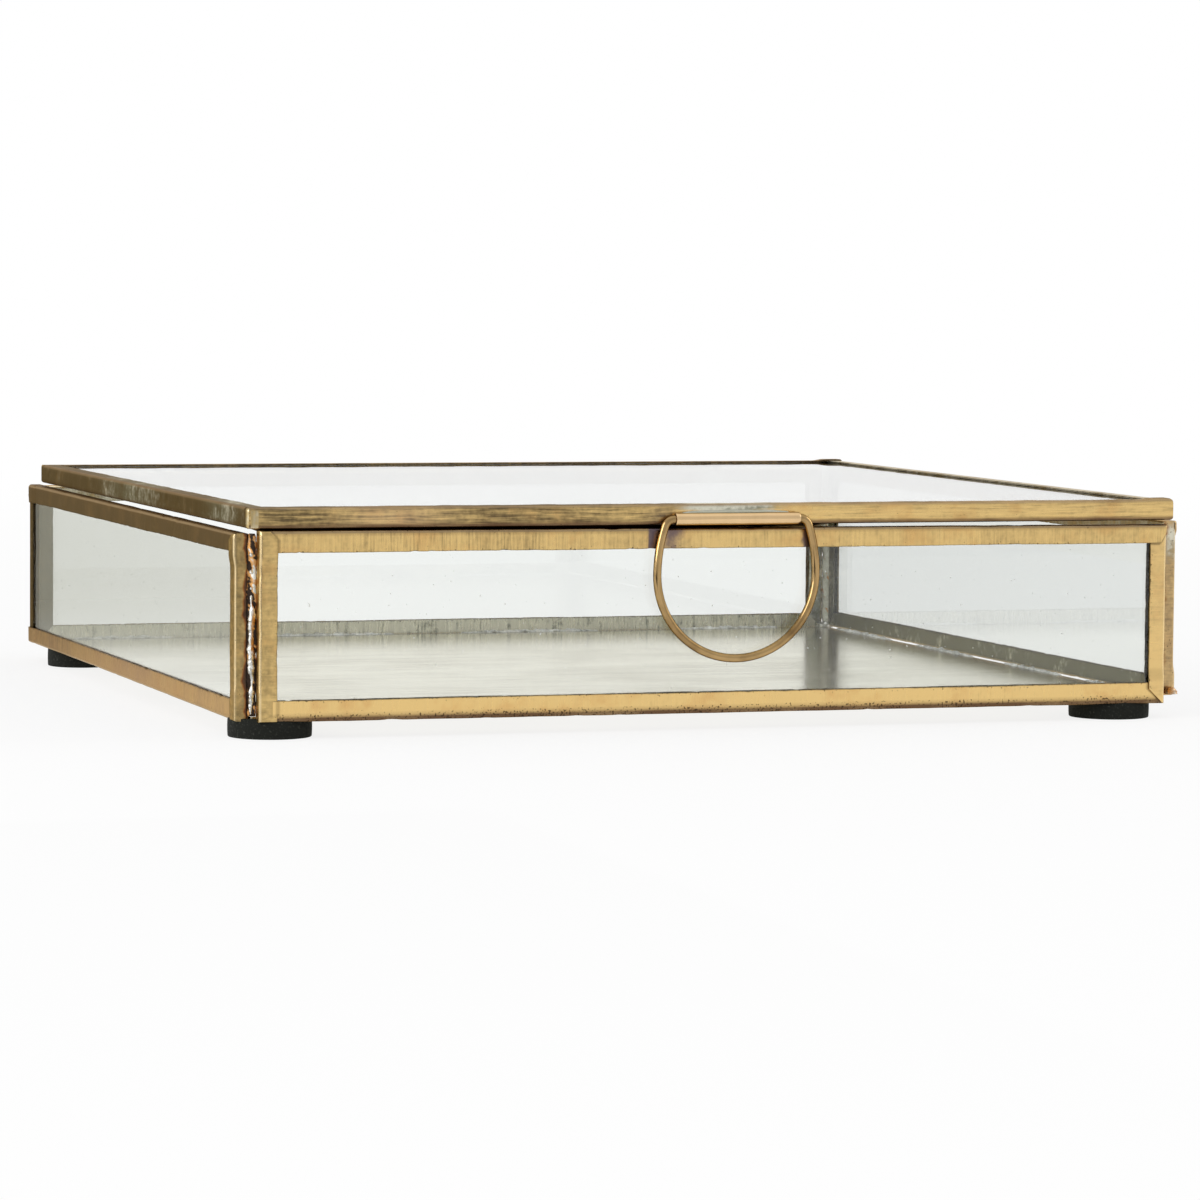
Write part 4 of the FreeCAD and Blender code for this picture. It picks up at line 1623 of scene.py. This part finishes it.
@dataclass
class Floor:
    """The floor plate, a little wavy, and the tacks of solder round it."""

    half: float = 87.3
    bottom: float = 3.5
    gauge: float = 0.4
    wave: float = 0.035
    long_wave: tuple[float, float] = (0.6, 70.0)
    slant_wave: tuple[float, float] = (0.4, 95.0)
    slant: float = 0.3
    flat_edge: float = 9.0
    steps: int = 96
    wall: float = 87.4
    tack_shares: tuple[float, ...] = (-0.39, -0.15, 0.11, 0.37)
    tack_half: float = 14.0
    tack_leg: float = 0.62
    tack_rough: float = 0.42
    tack_low: float = 0.8
    tack_hollow: float = 1.3
    tack_heel: tuple[float, float] = (-0.02, -0.01)
    tack_reach: tuple[float, float] = (0.75, 1.35)
    tack_rows: int = 110
    drop_inset: float = 0.4
    drop_radii: Point = (1.9, 1.6, 1.1)

    def plate(self, brass: bpy.types.Material) -> None:
        """Make the plate: two grids of the same waves, joined round the rim by their border points.

        Args:
            brass: Finish of the plate.
        """
        line = np.linspace(-self.half, self.half, self.steps)
        x, y = np.meshgrid(line, line)
        (high, length), (slant_high, slant_length) = self.long_wave, self.slant_wave
        lift = high * ripple(y, 5, length, 2) + slant_high * ripple(x + self.slant * y, 6, slant_length, 2)
        edge = smooth(np.maximum(np.abs(x), np.abs(y)), self.half - self.flat_edge, self.half)
        z = self.bottom + self.wave * lift * (1 - edge)
        under = np.stack([x, y, z], -1)
        over = np.stack([x, y, z + self.gauge], -1)
        count = self.steps**2
        cell = np.arange(count).reshape(self.steps, self.steps)
        flat = np.stack([cell[:-1, :-1], cell[:-1, 1:], cell[1:, 1:], cell[1:, :-1]], -1).reshape(-1, 4)
        border = np.concatenate([cell[0, :-1], cell[:-1, -1], cell[-1, :0:-1], cell[:0:-1, 0]])
        after = np.roll(border, -1)
        rim = np.stack([border, after, after + count, border + count], -1)
        skin = Skin()
        skin.add(np.stack([under, over]), [flat[:, ::-1], flat + count, rim], {"edge": np.stack([edge, edge])})
        skin.piece("floor_sheet", "tray", "floor_brass", brass, ["floor_plate"])

    def tacks(self, solder: bpy.types.Material) -> None:
        """Make the tacks: runs of a quarter-round section against each wall, and a drop in one corner.

        Args:
            solder: Finish of the tacks.
        """
        skin = Skin()
        turn = quarter(9)
        curve = np.stack([np.cos(turn), self.tack_low * np.sin(turn)], -1)
        section = np.concatenate([self.tack_leg * curve**self.tack_hollow, [self.tack_heel]])
        top = self.bottom + self.gauge
        walls = ((0, -1), (0, 1), (1, -1), (1, 1))
        for lot, (axis, sign) in enumerate(walls):
            base = sign * self.wall * AXES[axis] + top * AXES[2]
            for place, share in enumerate(self.tack_shares):
                draw = np.random.default_rng(200 + 10 * lot + place)
                reach = self.tack_half * draw.uniform(*self.tack_reach)
                x = share * 2 * self.wall + np.linspace(-reach, reach, self.tack_rows)
                axes = (AXES[1 - axis], -sign * AXES[axis], AXES[2])
                rings = bead(x, section, 210 + 10 * lot + place, *axes, base, self.tack_rough)
                skin.loft(rings, marks={"stain": 0.05})
        corner = np.array([self.wall - self.drop_inset, self.wall - self.drop_inset, top])
        skin.loft(dome(corner, self.drop_radii, 91), marks={"stain": 0.0})
        skin.piece("floor_tacks", "tray", "solder", solder, ["floor_solder"])


@dataclass
class Feet:
    """Round foam feet, cut by hand: not quite round, and a little fuller at mid height."""

    radius: float = 7.5
    height: float = 3.5
    edge: float = 0.16
    bulge: float = 0.06
    hub: float = 0.6
    uneven: Profile = ((0.006, 9.0), (0.004, 7.0))
    uneven_reach: float = 4.0
    sides: int = 72
    shares: tuple[float, ...] = (1.0, 1.0, 0.94, 0.97)
    nodes: tuple[str, ...] = ("front_left_foot", "front_right_foot", "back_left_foot", "back_right_foot")

    def build(self, foam: bpy.types.Material) -> None:
        """Turn the outline of each foot about its middle: flat ends, rounded edges, a bowed side.

        Args:
            foam: Finish of the feet.
        """
        turn = quarter(6)
        rise = np.linspace(self.edge, self.height - self.edge, 9)[1:-1]
        bow = self.bulge * np.sin(math.pi * rise / self.height)
        disc = np.linspace(self.hub, self.radius - self.edge - self.bulge, 8)[:-1]
        rim = self.radius - self.bulge - self.edge
        out, up = rim + self.edge * np.sin(turn), self.edge * (1 - np.cos(turn))
        reach = np.concatenate([disc, out, self.radius - self.bulge + bow, out[::-1], disc[::-1]])
        flat = np.zeros(len(disc))
        lift = np.concatenate([flat, up, rise, self.height - up[::-1], flat + self.height])
        angle = circle(self.sides)
        (high, length), (cross_high, cross_length) = self.uneven
        along, cross = np.sin(angle) * self.uneven_reach, np.cos(angle) * self.uneven_reach
        for lot, node in enumerate(self.nodes):
            near, far = (np.array(corner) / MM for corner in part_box(node))
            middle = (near + far) / 2
            uneven = 1 + high * ripple(along, 300 + lot, length)
            uneven = uneven + cross_high * ripple(cross, 310 + lot, cross_length)
            across = reach[:, None] * uneven * self.shares[lot]
            rings = np.stack([
                middle[0] + across * np.cos(angle),
                middle[1] + across * np.sin(angle),
                np.broadcast_to(lift[:, None], across.shape),
            ], -1)
            skin = Skin()
            skin.loft(rings)
            made = skin.piece(f"{node}_foam", "tray", "foam", foam, [node])


# The section of solder above a tube, away from the face and up, in radii of the tube; its middle; its lumps.
FILLET_SECTION = np.array([
    [-0.04, 0.30], [-0.04, 0.8], [-0.04, 1.42], [0.03, 1.44], [0.07, 1.30], [0.15, 1.15],
    [0.30, 1.05], [0.62, 1.01], [0.80, 0.94], [0.66, 0.86], [0.40, 0.74], [0.20, 0.52],
])
FILLET_MIDDLE = np.array([0.30, 0.90])
FILLET_ROUGH = 0.09


def fillet(skin: Skin, x: Array, radius: float, touch: Array, away: Array, lot: int, dull: float) -> None:
    """Solder in the angle above a tube that touches an upright face.

    Its section has a flat foot on the face, a hollow slope and a toe on the tube's crown.

    Args:
        skin: The piece that gets it.
        x: Places along the tube.
        radius: Outside radius of the tube.
        touch: Where the tube touches the face, at x of zero.
        away: Direction from the face to the tube's axis.
        lot: Number that settles the lumps.
        dull: How dull it is.
    """
    middle = FILLET_MIDDLE * radius
    section = FILLET_SECTION * radius - middle
    base = touch + middle[0] * away + middle[1] * AXES[2]
    marks = {"stain": 0.1, "dull": dull}
    skin.loft(bead(x, section, lot, AXES[0], away, AXES[2], base, FILLET_ROUGH), marks=marks)


@dataclass
class Hinge:
    """The tube on the lid's back strip, the two bent pins in its ends and their solder."""

    tube_radius: float = 1.5
    tube_wall: float = 0.85
    half: float = 60.0
    y: float = 83.8
    z: float = 37.8
    lid_back: float = 82.3
    pin_radius: float = 0.6
    engagement: float = 14.0
    end_play: float = 0.4
    bend: float = 1.5
    reach: float = 5.3
    fall: float = 1.2
    dab: Point = (1.9, 0.95, 1.75)
    dab_y: float = 88.7
    wall_top: float = 36.0
    tube_end: float = 0.15
    solder_share: float = 0.92
    pin_sides: int = 18

    def build(self, brass: bpy.types.Material, solder: bpy.types.Material) -> None:
        """Make the tube, the pins and the solder that holds each.

        A pin's path is a straight run in the tube, a quarter circle, and a straight leg down to the wall.

        Args:
            brass: Finish of the tube and the pins.
            solder: Finish of the solder.
        """
        inner = self.half - self.tube_end
        x = np.concatenate([[-self.half], np.linspace(-inner, inner, 120), [self.half]])
        rings = tube_rings(x, (self.y, self.z), self.tube_radius, self.tube_wall, 401)
        skin = Skin()
        skin.loft(rings, True, {"along": rings[..., 0], "lot": 5.0, "patina": 0.45})
        skin.piece("hinge_tube_brass", "lid", "wire_brass", brass, ["hinge_tube"])

        skin = Skin()
        reach = self.solder_share * self.half
        run = np.linspace(-reach, reach, 260)
        fillet(skin, run, self.tube_radius, np.array([0.0, self.lid_back, self.z]), AXES[1], 411, 0.6)
        skin.piece("hinge_tube_fillet", "lid", "solder", solder, ["hinge_tube_solder"])

        dabs = Skin()
        leg = math.hypot(self.reach, self.fall)
        down = np.array([0.0, self.reach, -self.fall]) / leg
        past = self.end_play + self.bend
        turn = quarter(14)
        held = np.linspace(-self.engagement, self.end_play, 16)[:-1]
        free = np.linspace(self.bend, leg, 9)[1:]
        for side, sign in (("left", -1), ("right", 1)):
            out = np.concatenate([held, self.end_play + self.bend * np.sin(turn), np.full(len(free), past)])
            fore = np.concatenate([np.zeros(len(held)), self.bend * (1 - np.cos(turn)), free])
            base = np.array([sign * self.half, self.y, self.z])
            path = base + sign * out[:, None] * AXES[0] + fore[:, None] * down
            skin = Skin()
            start = np.cross(AXES[0], down)
            marks = path_marks(path, self.pin_sides, 420 + sign, 0.4)
            skin.loft(carried(path, self.pin_radius, start, self.pin_sides), marks=marks)
            skin.piece(f"hinge_pin_{side}_brass", "tray", "wire_brass", brass, [f"hinge_pin_{side}"])
            foot = np.array([sign * (self.half + self.end_play + self.bend), self.dab_y, self.wall_top])
            dabs.loft(dome(foot, self.dab, 430 + sign), marks={"stain": 0.2})
        dabs.piece("hinge_pin_dabs", "tray", "solder", solder, ["hinge_pin_solder"])


@dataclass
class Pull:
    """The wire ring, the sleeve that it turns in and the solder on the sleeve."""

    offset: float = 1.5
    y: float = -91.1
    z: float = 38.0
    front: float = -90.0
    sleeve_radius: float = 1.1
    sleeve_wall: float = 0.3
    sleeve_half: float = 11.8
    wire: float = 0.75
    end_gap: float = 0.2
    bend_x: float = 12.0
    bend: float = 1.8
    half: float = 15.1
    drop: float = 10.0
    wire_sides: int = 28
    sleeve_end: float = 0.08
    solder_share: float = 0.86

    def ring_path(self) -> Array:
        """The middle line of the ring, from one end in the sleeve to the other.

        A straight run in the sleeve, a tight bend, a wide shoulder arc that ends upright, half a circle below,
        and the same again mirrored.

        Returns:
            Points from the right end to the left end.
        """
        bulge = self.half - self.bend_x
        shoulder = (bulge**2 + (self.drop - self.bend) ** 2 - self.bend**2) / (2 * (bulge - self.bend))
        meet = math.atan2(self.drop - self.bend, self.bend_x - self.half + shoulder)
        run = np.stack([np.linspace(self.end_gap, self.bend_x, 14), np.zeros(14)], -1)
        arcs = (
            (self.bend_x, -self.bend, self.bend, RIGHT_ANGLE, meet, 12),
            (self.half - shoulder, -self.drop, shoulder, meet, 0.0, 22),
            (0.0, -self.drop, self.half, 0.0, -RIGHT_ANGLE, 50),
        )
        parts = [run]
        for x, z, radius, begin, finish, steps in arcs:
            angle = np.linspace(begin, finish, steps)[1:]
            parts.append(np.stack([x + radius * np.cos(angle), z + radius * np.sin(angle)], -1))
        right = np.concatenate(parts)
        whole = np.concatenate([right, (right * [-1, 1])[-2::-1]])
        return np.stack([self.offset + whole[:, 0], np.full(len(whole), self.y), self.z + whole[:, 1]], -1)

    def build(self, brass: bpy.types.Material, solder: bpy.types.Material) -> None:
        """Make the ring, the sleeve and the smear of solder above it.

        Args:
            brass: Finish of the ring and the sleeve.
            solder: Finish of the solder.
        """
        path = self.ring_path()
        skin = Skin()
        marks = path_marks(path, self.wire_sides, 501, 0.30)
        skin.loft(carried(path, self.wire, AXES[1], self.wire_sides), marks=marks)
        skin.piece("pull_ring_wire", "pull", "wire_brass", brass, ["pull_ring"])

        inner = self.sleeve_half - self.sleeve_end
        x = np.concatenate([[-self.sleeve_half], np.linspace(-inner, inner, 60), [self.sleeve_half]]) + self.offset
        rings = tube_rings(x, (self.y, self.z), self.sleeve_radius, self.sleeve_wall, 511)
        skin = Skin()
        skin.loft(rings, True, {"along": rings[..., 0], "lot": 9.0, "patina": 0.22, "rose": 0.85})
        skin.piece("pull_sleeve_brass", "lid", "wire_brass", brass, ["pull_sleeve"])

        skin = Skin()
        reach = self.solder_share * self.sleeve_half
        run = self.offset + np.linspace(-reach, reach, 150)
        fillet(skin, run, self.sleeve_radius, np.array([0.0, self.front, self.z]), -AXES[1], 521, 0.95)
        skin.piece("pull_sleeve_fillet", "lid", "solder", solder, ["pull_sleeve_solder"])


@dataclass(frozen=True)
class Lamp:
    """A soft box: where it stands, what it faces and its width and height, in metres, and its power in watts."""

    name: str
    place: Point
    aim: Point
    size: tuple[float, float]
    watts: float

    def build(self) -> None:
        """Hang the lamp."""
        light = bpy.data.lights.new(self.name, "AREA")
        light.shape = "RECTANGLE"
        light.size, light.size_y = self.size
        light.energy = self.watts
        made = bpy.data.objects.new(self.name, light)
        made.location = self.place
        made.rotation_mode = "QUATERNION"
        made.rotation_quaternion = (Vector(self.aim) - Vector(self.place)).to_track_quat("-Z", "Y")
        made.visible_camera = False
        bpy.context.scene.collection.objects.link(made)


@dataclass(frozen=True)
class Flag:
    """A grey board that only shows in reflections: two opposite corners, its tint, and between which Y it fades in."""

    name: str
    low: Point
    high: Point
    tint: Colour
    fade: tuple[float, float] = (-3.0, -2.0)

    def build(self) -> None:
        """Put the board in its place; rays that no surface has reflected go through it."""
        made, g = Graph.material(self.name)
        inputs = {"Color": (*self.tint, 1.0), "Strength": 1.0}
        glow, clear = g.add("ShaderNodeEmission", None, inputs), g.add("ShaderNodeBsdfTransparent")
        reflected = Value(g, g.add("ShaderNodeLightPath").outputs["Glossy Depth"]).ramp(0.0, 1.0)
        depth = Value(g, g.add("ShaderNodeSeparateXYZ", None, {0: g.place()}).outputs[1])
        share = reflected * depth.ramp(*self.fade)
        mixed = g.add("ShaderNodeMixShader", None, {0: share, 1: clear.outputs[0], 2: glow.outputs[0]})
        g.add("ShaderNodeOutputMaterial", None, {"Surface": mixed.outputs[0]})
        mesh = bpy.data.meshes.new(self.name)
        (left, near, lower), (right, far, upper) = self.low, self.high
        corners = [(left, near, lower), (right, near, lower), (right, far, upper), (left, far, upper)]
        mesh.from_pydata(corners, [], [(0, 1, 2, 3)])
        mesh.materials.append(made)
        board = bpy.data.objects.new(self.name, mesh)
        board.visible_camera = board.visible_diffuse = board.visible_shadow = False
        bpy.context.scene.collection.objects.link(board)


@dataclass(frozen=True)
class Studio:
    """A white floor that keeps the shadow, a white surround, soft boxes and grey boards."""

    floor_half: float = 6.0
    floor_white: float = 0.92
    shadow_share: float = 0.20
    shadow_reach: float = 900.0
    ambient: float = 0.72
    lamps: tuple[Lamp, ...] = (
        Lamp("left_box", (-1.3, -0.45, 0.55), (0.0, 0.0, 0.03), (0.9, 0.9), 9.0),
        Lamp("right_box", (1.4, -0.10, 0.70), (0.0, 0.0, 0.03), (0.9, 0.9), 6.0),
    )
    flags: tuple[Flag, ...] = (
        Flag("front_flag", (-0.75, -0.55, 0.0), (1.5, -0.55, 0.75), (0.76, 0.76, 0.76)),
        Flag("front_sheet", (-0.42, -0.85, 0.001), (-0.08, -0.20, 0.001), (0.05, 0.04, 0.03)),
        Flag("left_sheet", (-0.60, -0.10, 0.001), (-0.095, 1.2, 0.001), (0.46, 0.45, 0.37), (-0.08, 0.24)),
        Flag("back_sheet", (-0.095, 0.115, 0.001), (0.35, 1.2, 0.001), (0.50, 0.50, 0.50)),
    )

    def white_rays(self, g: Graph) -> Value:
        """1 for rays that show the background: from the camera, off gloss and through glass.

        Args:
            g: Graph that gets the nodes.

        Returns:
            The share.
        """
        path = g.add("ShaderNodeLightPath")
        seen = Value(g, path.outputs["Is Camera Ray"]).largest(Value(g, path.outputs["Is Glossy Ray"]))
        return seen.largest(Value(g, path.outputs["Is Transmission Ray"]))

    def floor(self) -> None:
        """Lay the floor: matt white, glowing white towards what shows the background, least so near the box.

        From below it is clear, so that the underside can be seen.
        """
        made, g = Graph.material("studio_floor")
        matt = g.add("ShaderNodeBsdfPrincipled", None, {"Base Color": (*[self.floor_white] * 3, 1.0), "Roughness": 0.9})
        glow = g.add("ShaderNodeEmission", None, {"Color": (1.0, 1.0, 1.0, 1.0), "Strength": 1.0})
        share = self.white_rays(g) * (1.0 - g.near((0.0, 0.0, 0.0), self.shadow_reach) * self.shadow_share)
        mixed = g.add("ShaderNodeMixShader", None, {0: share, 1: matt.outputs[0], 2: glow.outputs[0]})
        below = Value(g, g.add("ShaderNodeNewGeometry").outputs["Backfacing"])
        clear = g.add("ShaderNodeBsdfTransparent")
        sided = g.add("ShaderNodeMixShader", None, {0: below, 1: mixed.outputs[0], 2: clear.outputs[0]})
        g.add("ShaderNodeOutputMaterial", None, {"Surface": sided.outputs[0]})
        reach = self.floor_half
        mesh = bpy.data.meshes.new("studio_floor")
        corners = [(-reach, -reach, 0.0), (reach, -reach, 0.0), (reach, reach, 0.0), (-reach, reach, 0.0)]
        mesh.from_pydata(corners, [], [(0, 1, 2, 3)])
        mesh.materials.append(made)
        lain = bpy.data.objects.new("studio_floor", mesh)
        bpy.context.scene.collection.objects.link(lain)

    def surround(self) -> None:
        """Set the world: white where it is seen, even light elsewhere."""
        world = bpy.data.worlds.new("studio")
        world.use_nodes = True
        g = Graph(world.node_tree)
        strength = self.white_rays(g) * (1.0 - self.ambient) + self.ambient
        sky = g.add("ShaderNodeBackground", None, {"Color": (1.0, 1.0, 1.0, 1.0), "Strength": strength})
        g.add("ShaderNodeOutputWorld", None, {"Surface": sky.outputs[0]})
        bpy.context.scene.world = world

    def spare_panes(self) -> None:
        """Keep the lamps' reflections out of the panes, where they would be hard white patches."""
        spared = bpy.data.collections.new("panes")
        for thing in bpy.context.scene.objects:
            if thing.name.endswith("_pane"):
                spared.objects.link(thing)
        for member in spared.collection_objects:
            member.light_linking.link_state = "EXCLUDE"
        for lamp in self.lamps:
            bpy.data.objects[lamp.name].light_linking.receiver_collection = spared

    def build(self) -> None:
        """Lay the floor, set the world, hang the lamps and stand the boards."""
        self.floor()
        self.surround()
        for item in (*self.lamps, *self.flags):
            item.build()
        self.spare_panes()
        bpy.context.scene.view_settings.view_transform = "Standard"


@dataclass(frozen=True)
class Viewpoint:
    """The camera: its place in millimetres, its turns in degrees, its lens and sensor, and its clip in metres."""

    place: Point = (-302.1, -922.2, 85.8)
    yaw: float = 18.48
    pitch: float = 4.05
    roll: float = 0.49
    lens: float = 148.18
    sensor: float = 36.0
    clip: tuple[float, float] = (0.05, 30.0)

    def build(self) -> None:
        """Make the camera: forward from yaw and pitch, right level, then both turned by the roll."""
        yaw, pitch, roll = (math.radians(angle) for angle in (self.yaw, self.pitch, self.roll))
        ahead = np.array([math.sin(yaw) * math.cos(pitch), math.cos(yaw) * math.cos(pitch), -math.sin(pitch)])
        right = np.array([math.cos(yaw), -math.sin(yaw), 0.0])
        up = np.cross(right, ahead)
        turned = math.cos(roll) * right + math.sin(roll) * up
        upright = math.cos(roll) * up - math.sin(roll) * right
        columns = np.stack([turned, upright, -ahead], -1)
        data = bpy.data.cameras.new("camera")
        data.sensor_width = self.sensor
        data.lens = self.lens
        data.clip_start, data.clip_end = self.clip
        made = bpy.data.objects.new("camera", data)
        made.matrix_world = Matrix.Translation(Vector(self.place) * MM) @ Matrix(columns.tolist()).to_4x4()
        bpy.context.scene.collection.objects.link(made)
        bpy.context.scene.camera = made


# Gauge and outer bend of the sheets, the age and painted shade of each strip, then what leans, hangs or is cut off by
# hand.
WALL_SHEET = {"gauge": 0.3, "bend": 0.52}
LID_SHEET = {"gauge": 0.35, "bend": 0.55}

FRONT_TONES = {
    "bottom": Tone(-0.20, 0.05, 1.0, (Stain(-60.0, 45.0, -0.05),), shade=1.0, grain=0.45, depth=1.20),
    "top": Tone(
        0.10, 0.03, 0.4,
        (
            # The stains at -14 and 15.4 paint the shadow of the ring's legs; the one at -10.5 is a smoky stain.
            Stain(-10.5, 4.5, 0.1, 0.1, 0.5), Stain(-14.0, 1.5, 0.8, 0.0, 1.2), Stain(15.4, 1.4, 0.6, 0.0, 0.9),
            Stain(-52.0, 30.0, grain=0.5),
        ),
        shade=0.75, grain=0.48,
    ),
    "left": Tone(0.30, 0.0, 0.3, grain=0.22, burn=0.35),
    "right": Tone(-0.05, 0.10, 0.3, grain=0.35, burn=0.3),
}
LEFT_TONES = {
    "top": Tone(1.22, 0.08, 0.4, (Stain(-30.0, 60.0, -0.12), Stain(75.0, 40.0, 0.1)), shade=0.6, tin=0.4, grain=0.35),
    "bottom": Tone(
        0.06, 0.45, 0.5, (Stain(70.0, 55.0, 0.45), Stain(-5.0, 60.0, -0.1, 0.3)), shade=0.3, tin=0.5, grain=0.6,
    ),
    "front": Tone(0.58, 0.0, 0.3, tin=0.3, grain=0.15, tinned=0.12, burn=1.0),
    "back": Tone(1.0, 0.0, 0.3, tin=0.0, grain=0.3),
}
RIGHT_TONES = {
    "top": Tone(0.40, 0.30, 0.3, tin=0.4),
    "bottom": Tone(0.75, 0.0, 0.3, tin=0.9, grain=0.10, drab=0.7),
    "front": Tone(0.50, 0.25, 0.5, (Stain(12.0, 8.0, tinned=0.5),), tin=0.3, grain=0.35, burn=0.3),
    "back": Tone(0.55, 0.0, 0.3, tin=0.8, grain=0.3, drab=0.5),
}
BACK_TONES = {
    "top": Tone(0.45, 0.10, 0.3, tin=0.5),
    "bottom": Tone(0.30, 0.05, 0.3, tin=1.0, grain=1.8, drab=-0.6),
    "left": Tone(1.05, 0.0, 0.3, tin=0.0, grain=0.3),
    "right": Tone(0.45, 0.05, 0.3, tin=0.8, grain=0.3, drab=0.3),
}
LID_TONES = {
    "front": Tone(
        0.06, 0.03, 0.3,
        (
            Stain(-36.0, 48.0, 0.52), Stain(-80.0, 18.0, 0.74), Stain(-62.0, 16.0, 0.0, 0.25),
            Stain(-12.0, 5.0, 0.2, 0.1, 0.4), Stain(0.8, 15.0, tinned=1.1, above=0.75),
        ),
        lengthwise=True, lip=0.5, under=0.95, over=0.7, grain=1.0,
    ),
    "left": Tone(
        1.2, 0.0, 0.3, (Stain(-66.0, 24.0, tinned=0.36), Stain(5.0, 45.0, tinned=0.36)),
        under=0.3, over=0.8, grain=0.55, tinned=0.14, drab=0.45,
    ),
    "right": Tone(0.40, 0.20, 0.3, under=0.6, tinned=0.60, drab=-0.2),
    "back": Tone(0.62, 0.10, 0.3, under=0.6),
}
RISES = {"front": ((0.0, 0.62), (1.0, 0.10)), "left": ((0.0, 0.0), (1.0, 0.35))}
SAGS = {"front": ((0.0, 0.45), (1.0, 0.60)), "left": ((0.0, 0.45), (0.7, 0.0))}
DROOPS = {"lid_front_strip": ((-86.0, 0.9), (17.5, 0.9), (21.5, 0.0))}
CLIPS = {"front": (Clip(), Clip(0.5, 0.8), Clip(1.9, 0.9), Clip())}


def frames() -> list[Frame]:
    """The four walls and the lid.

    Returns:
        The frames, the lid last.
    """
    level = ("bottom", "top")
    walls = (
        ("front", 0, -AXES[1], ("left", "right"), FRONT_TONES,
         (Corner.UPRIGHT_OVER, Corner.UPRIGHT_CLIPPED, Corner.UPRIGHT_CLIPPED, Corner.LEVEL_CLIPPED)),
        ("back", 0, AXES[1], ("left", "right"), BACK_TONES,
         (Corner.UPRIGHT_CLIPPED, Corner.UPRIGHT_OVER, Corner.LEVEL_CLIPPED, Corner.UPRIGHT_CLIPPED)),
        ("left", 1, -AXES[0], ("front", "back"), LEFT_TONES,
         (Corner.UPRIGHT_OVER, Corner.LEVEL_OVER, Corner.UPRIGHT_CLIPPED, Corner.LEVEL_CLIPPED)),
        ("right", 1, AXES[0], ("front", "back"), RIGHT_TONES,
         (Corner.UPRIGHT_CLIPPED, Corner.UPRIGHT_OVER, Corner.LEVEL_CLIPPED, Corner.UPRIGHT_OVER)),
    )
    made = []
    for lot, (name, across, outward, sides, tones, corners) in enumerate(walls):
        edges = {"rise": RISES.get(name, LEVEL), "sag": SAGS.get(name, LEVEL), "clips": CLIPS.get(name, (Clip(),) * 4)}
        sheet = {**WALL_SHEET, "lot": lot + 1, **edges}
        made.append(Frame(name, "tray", across, 2, outward, sides, level, corners, tones, **sheet))
    corners = (Corner.LEVEL_OVER, Corner.LEVEL_OVER, Corner.LEVEL_CLIPPED, Corner.LEVEL_OVER)
    ends = ("front", "back")
    sheet = {**LID_SHEET, "lot": 5, "tab": CornerTab()}
    made.append(Frame("lid", "lid", 0, 1, AXES[2], ("left", "right"), ends, corners, LID_TONES, **sheet))
    return made


def write_sizes() -> None:
    """Bring the view layer up to date."""
    bpy.context.view_layer.update()


def main() -> None:
    """Dress every sub-assembly, then set the studio and the camera."""
    logging.basicConfig(level=logging.INFO, format="%(message)s")
    strip_brass, wire_brass = StripBrass().material(), WireBrass().material()
    floor_brass, solder, foam = FloorBrass().material(), Solder().material(), Foam().material()
    wall_glass = ClearGlass("wall_glass").material()
    lid_glass = ClearGlass("lid_glass", smear=(30.0, 220.0, 30.0)).material()
    for part in frames():
        part.build(strip_brass, lid_glass if part.name == "lid" else wall_glass)
    Seams().build(solder)
    floor = Floor()
    floor.plate(floor_brass)
    floor.tacks(solder)
    Feet().build(foam)
    Hinge().build(wire_brass, solder)
    Pull().build(wire_brass, solder)
    Studio().build()
    Viewpoint().build()
    write_sizes()


if __name__ == "__main__":
    main()
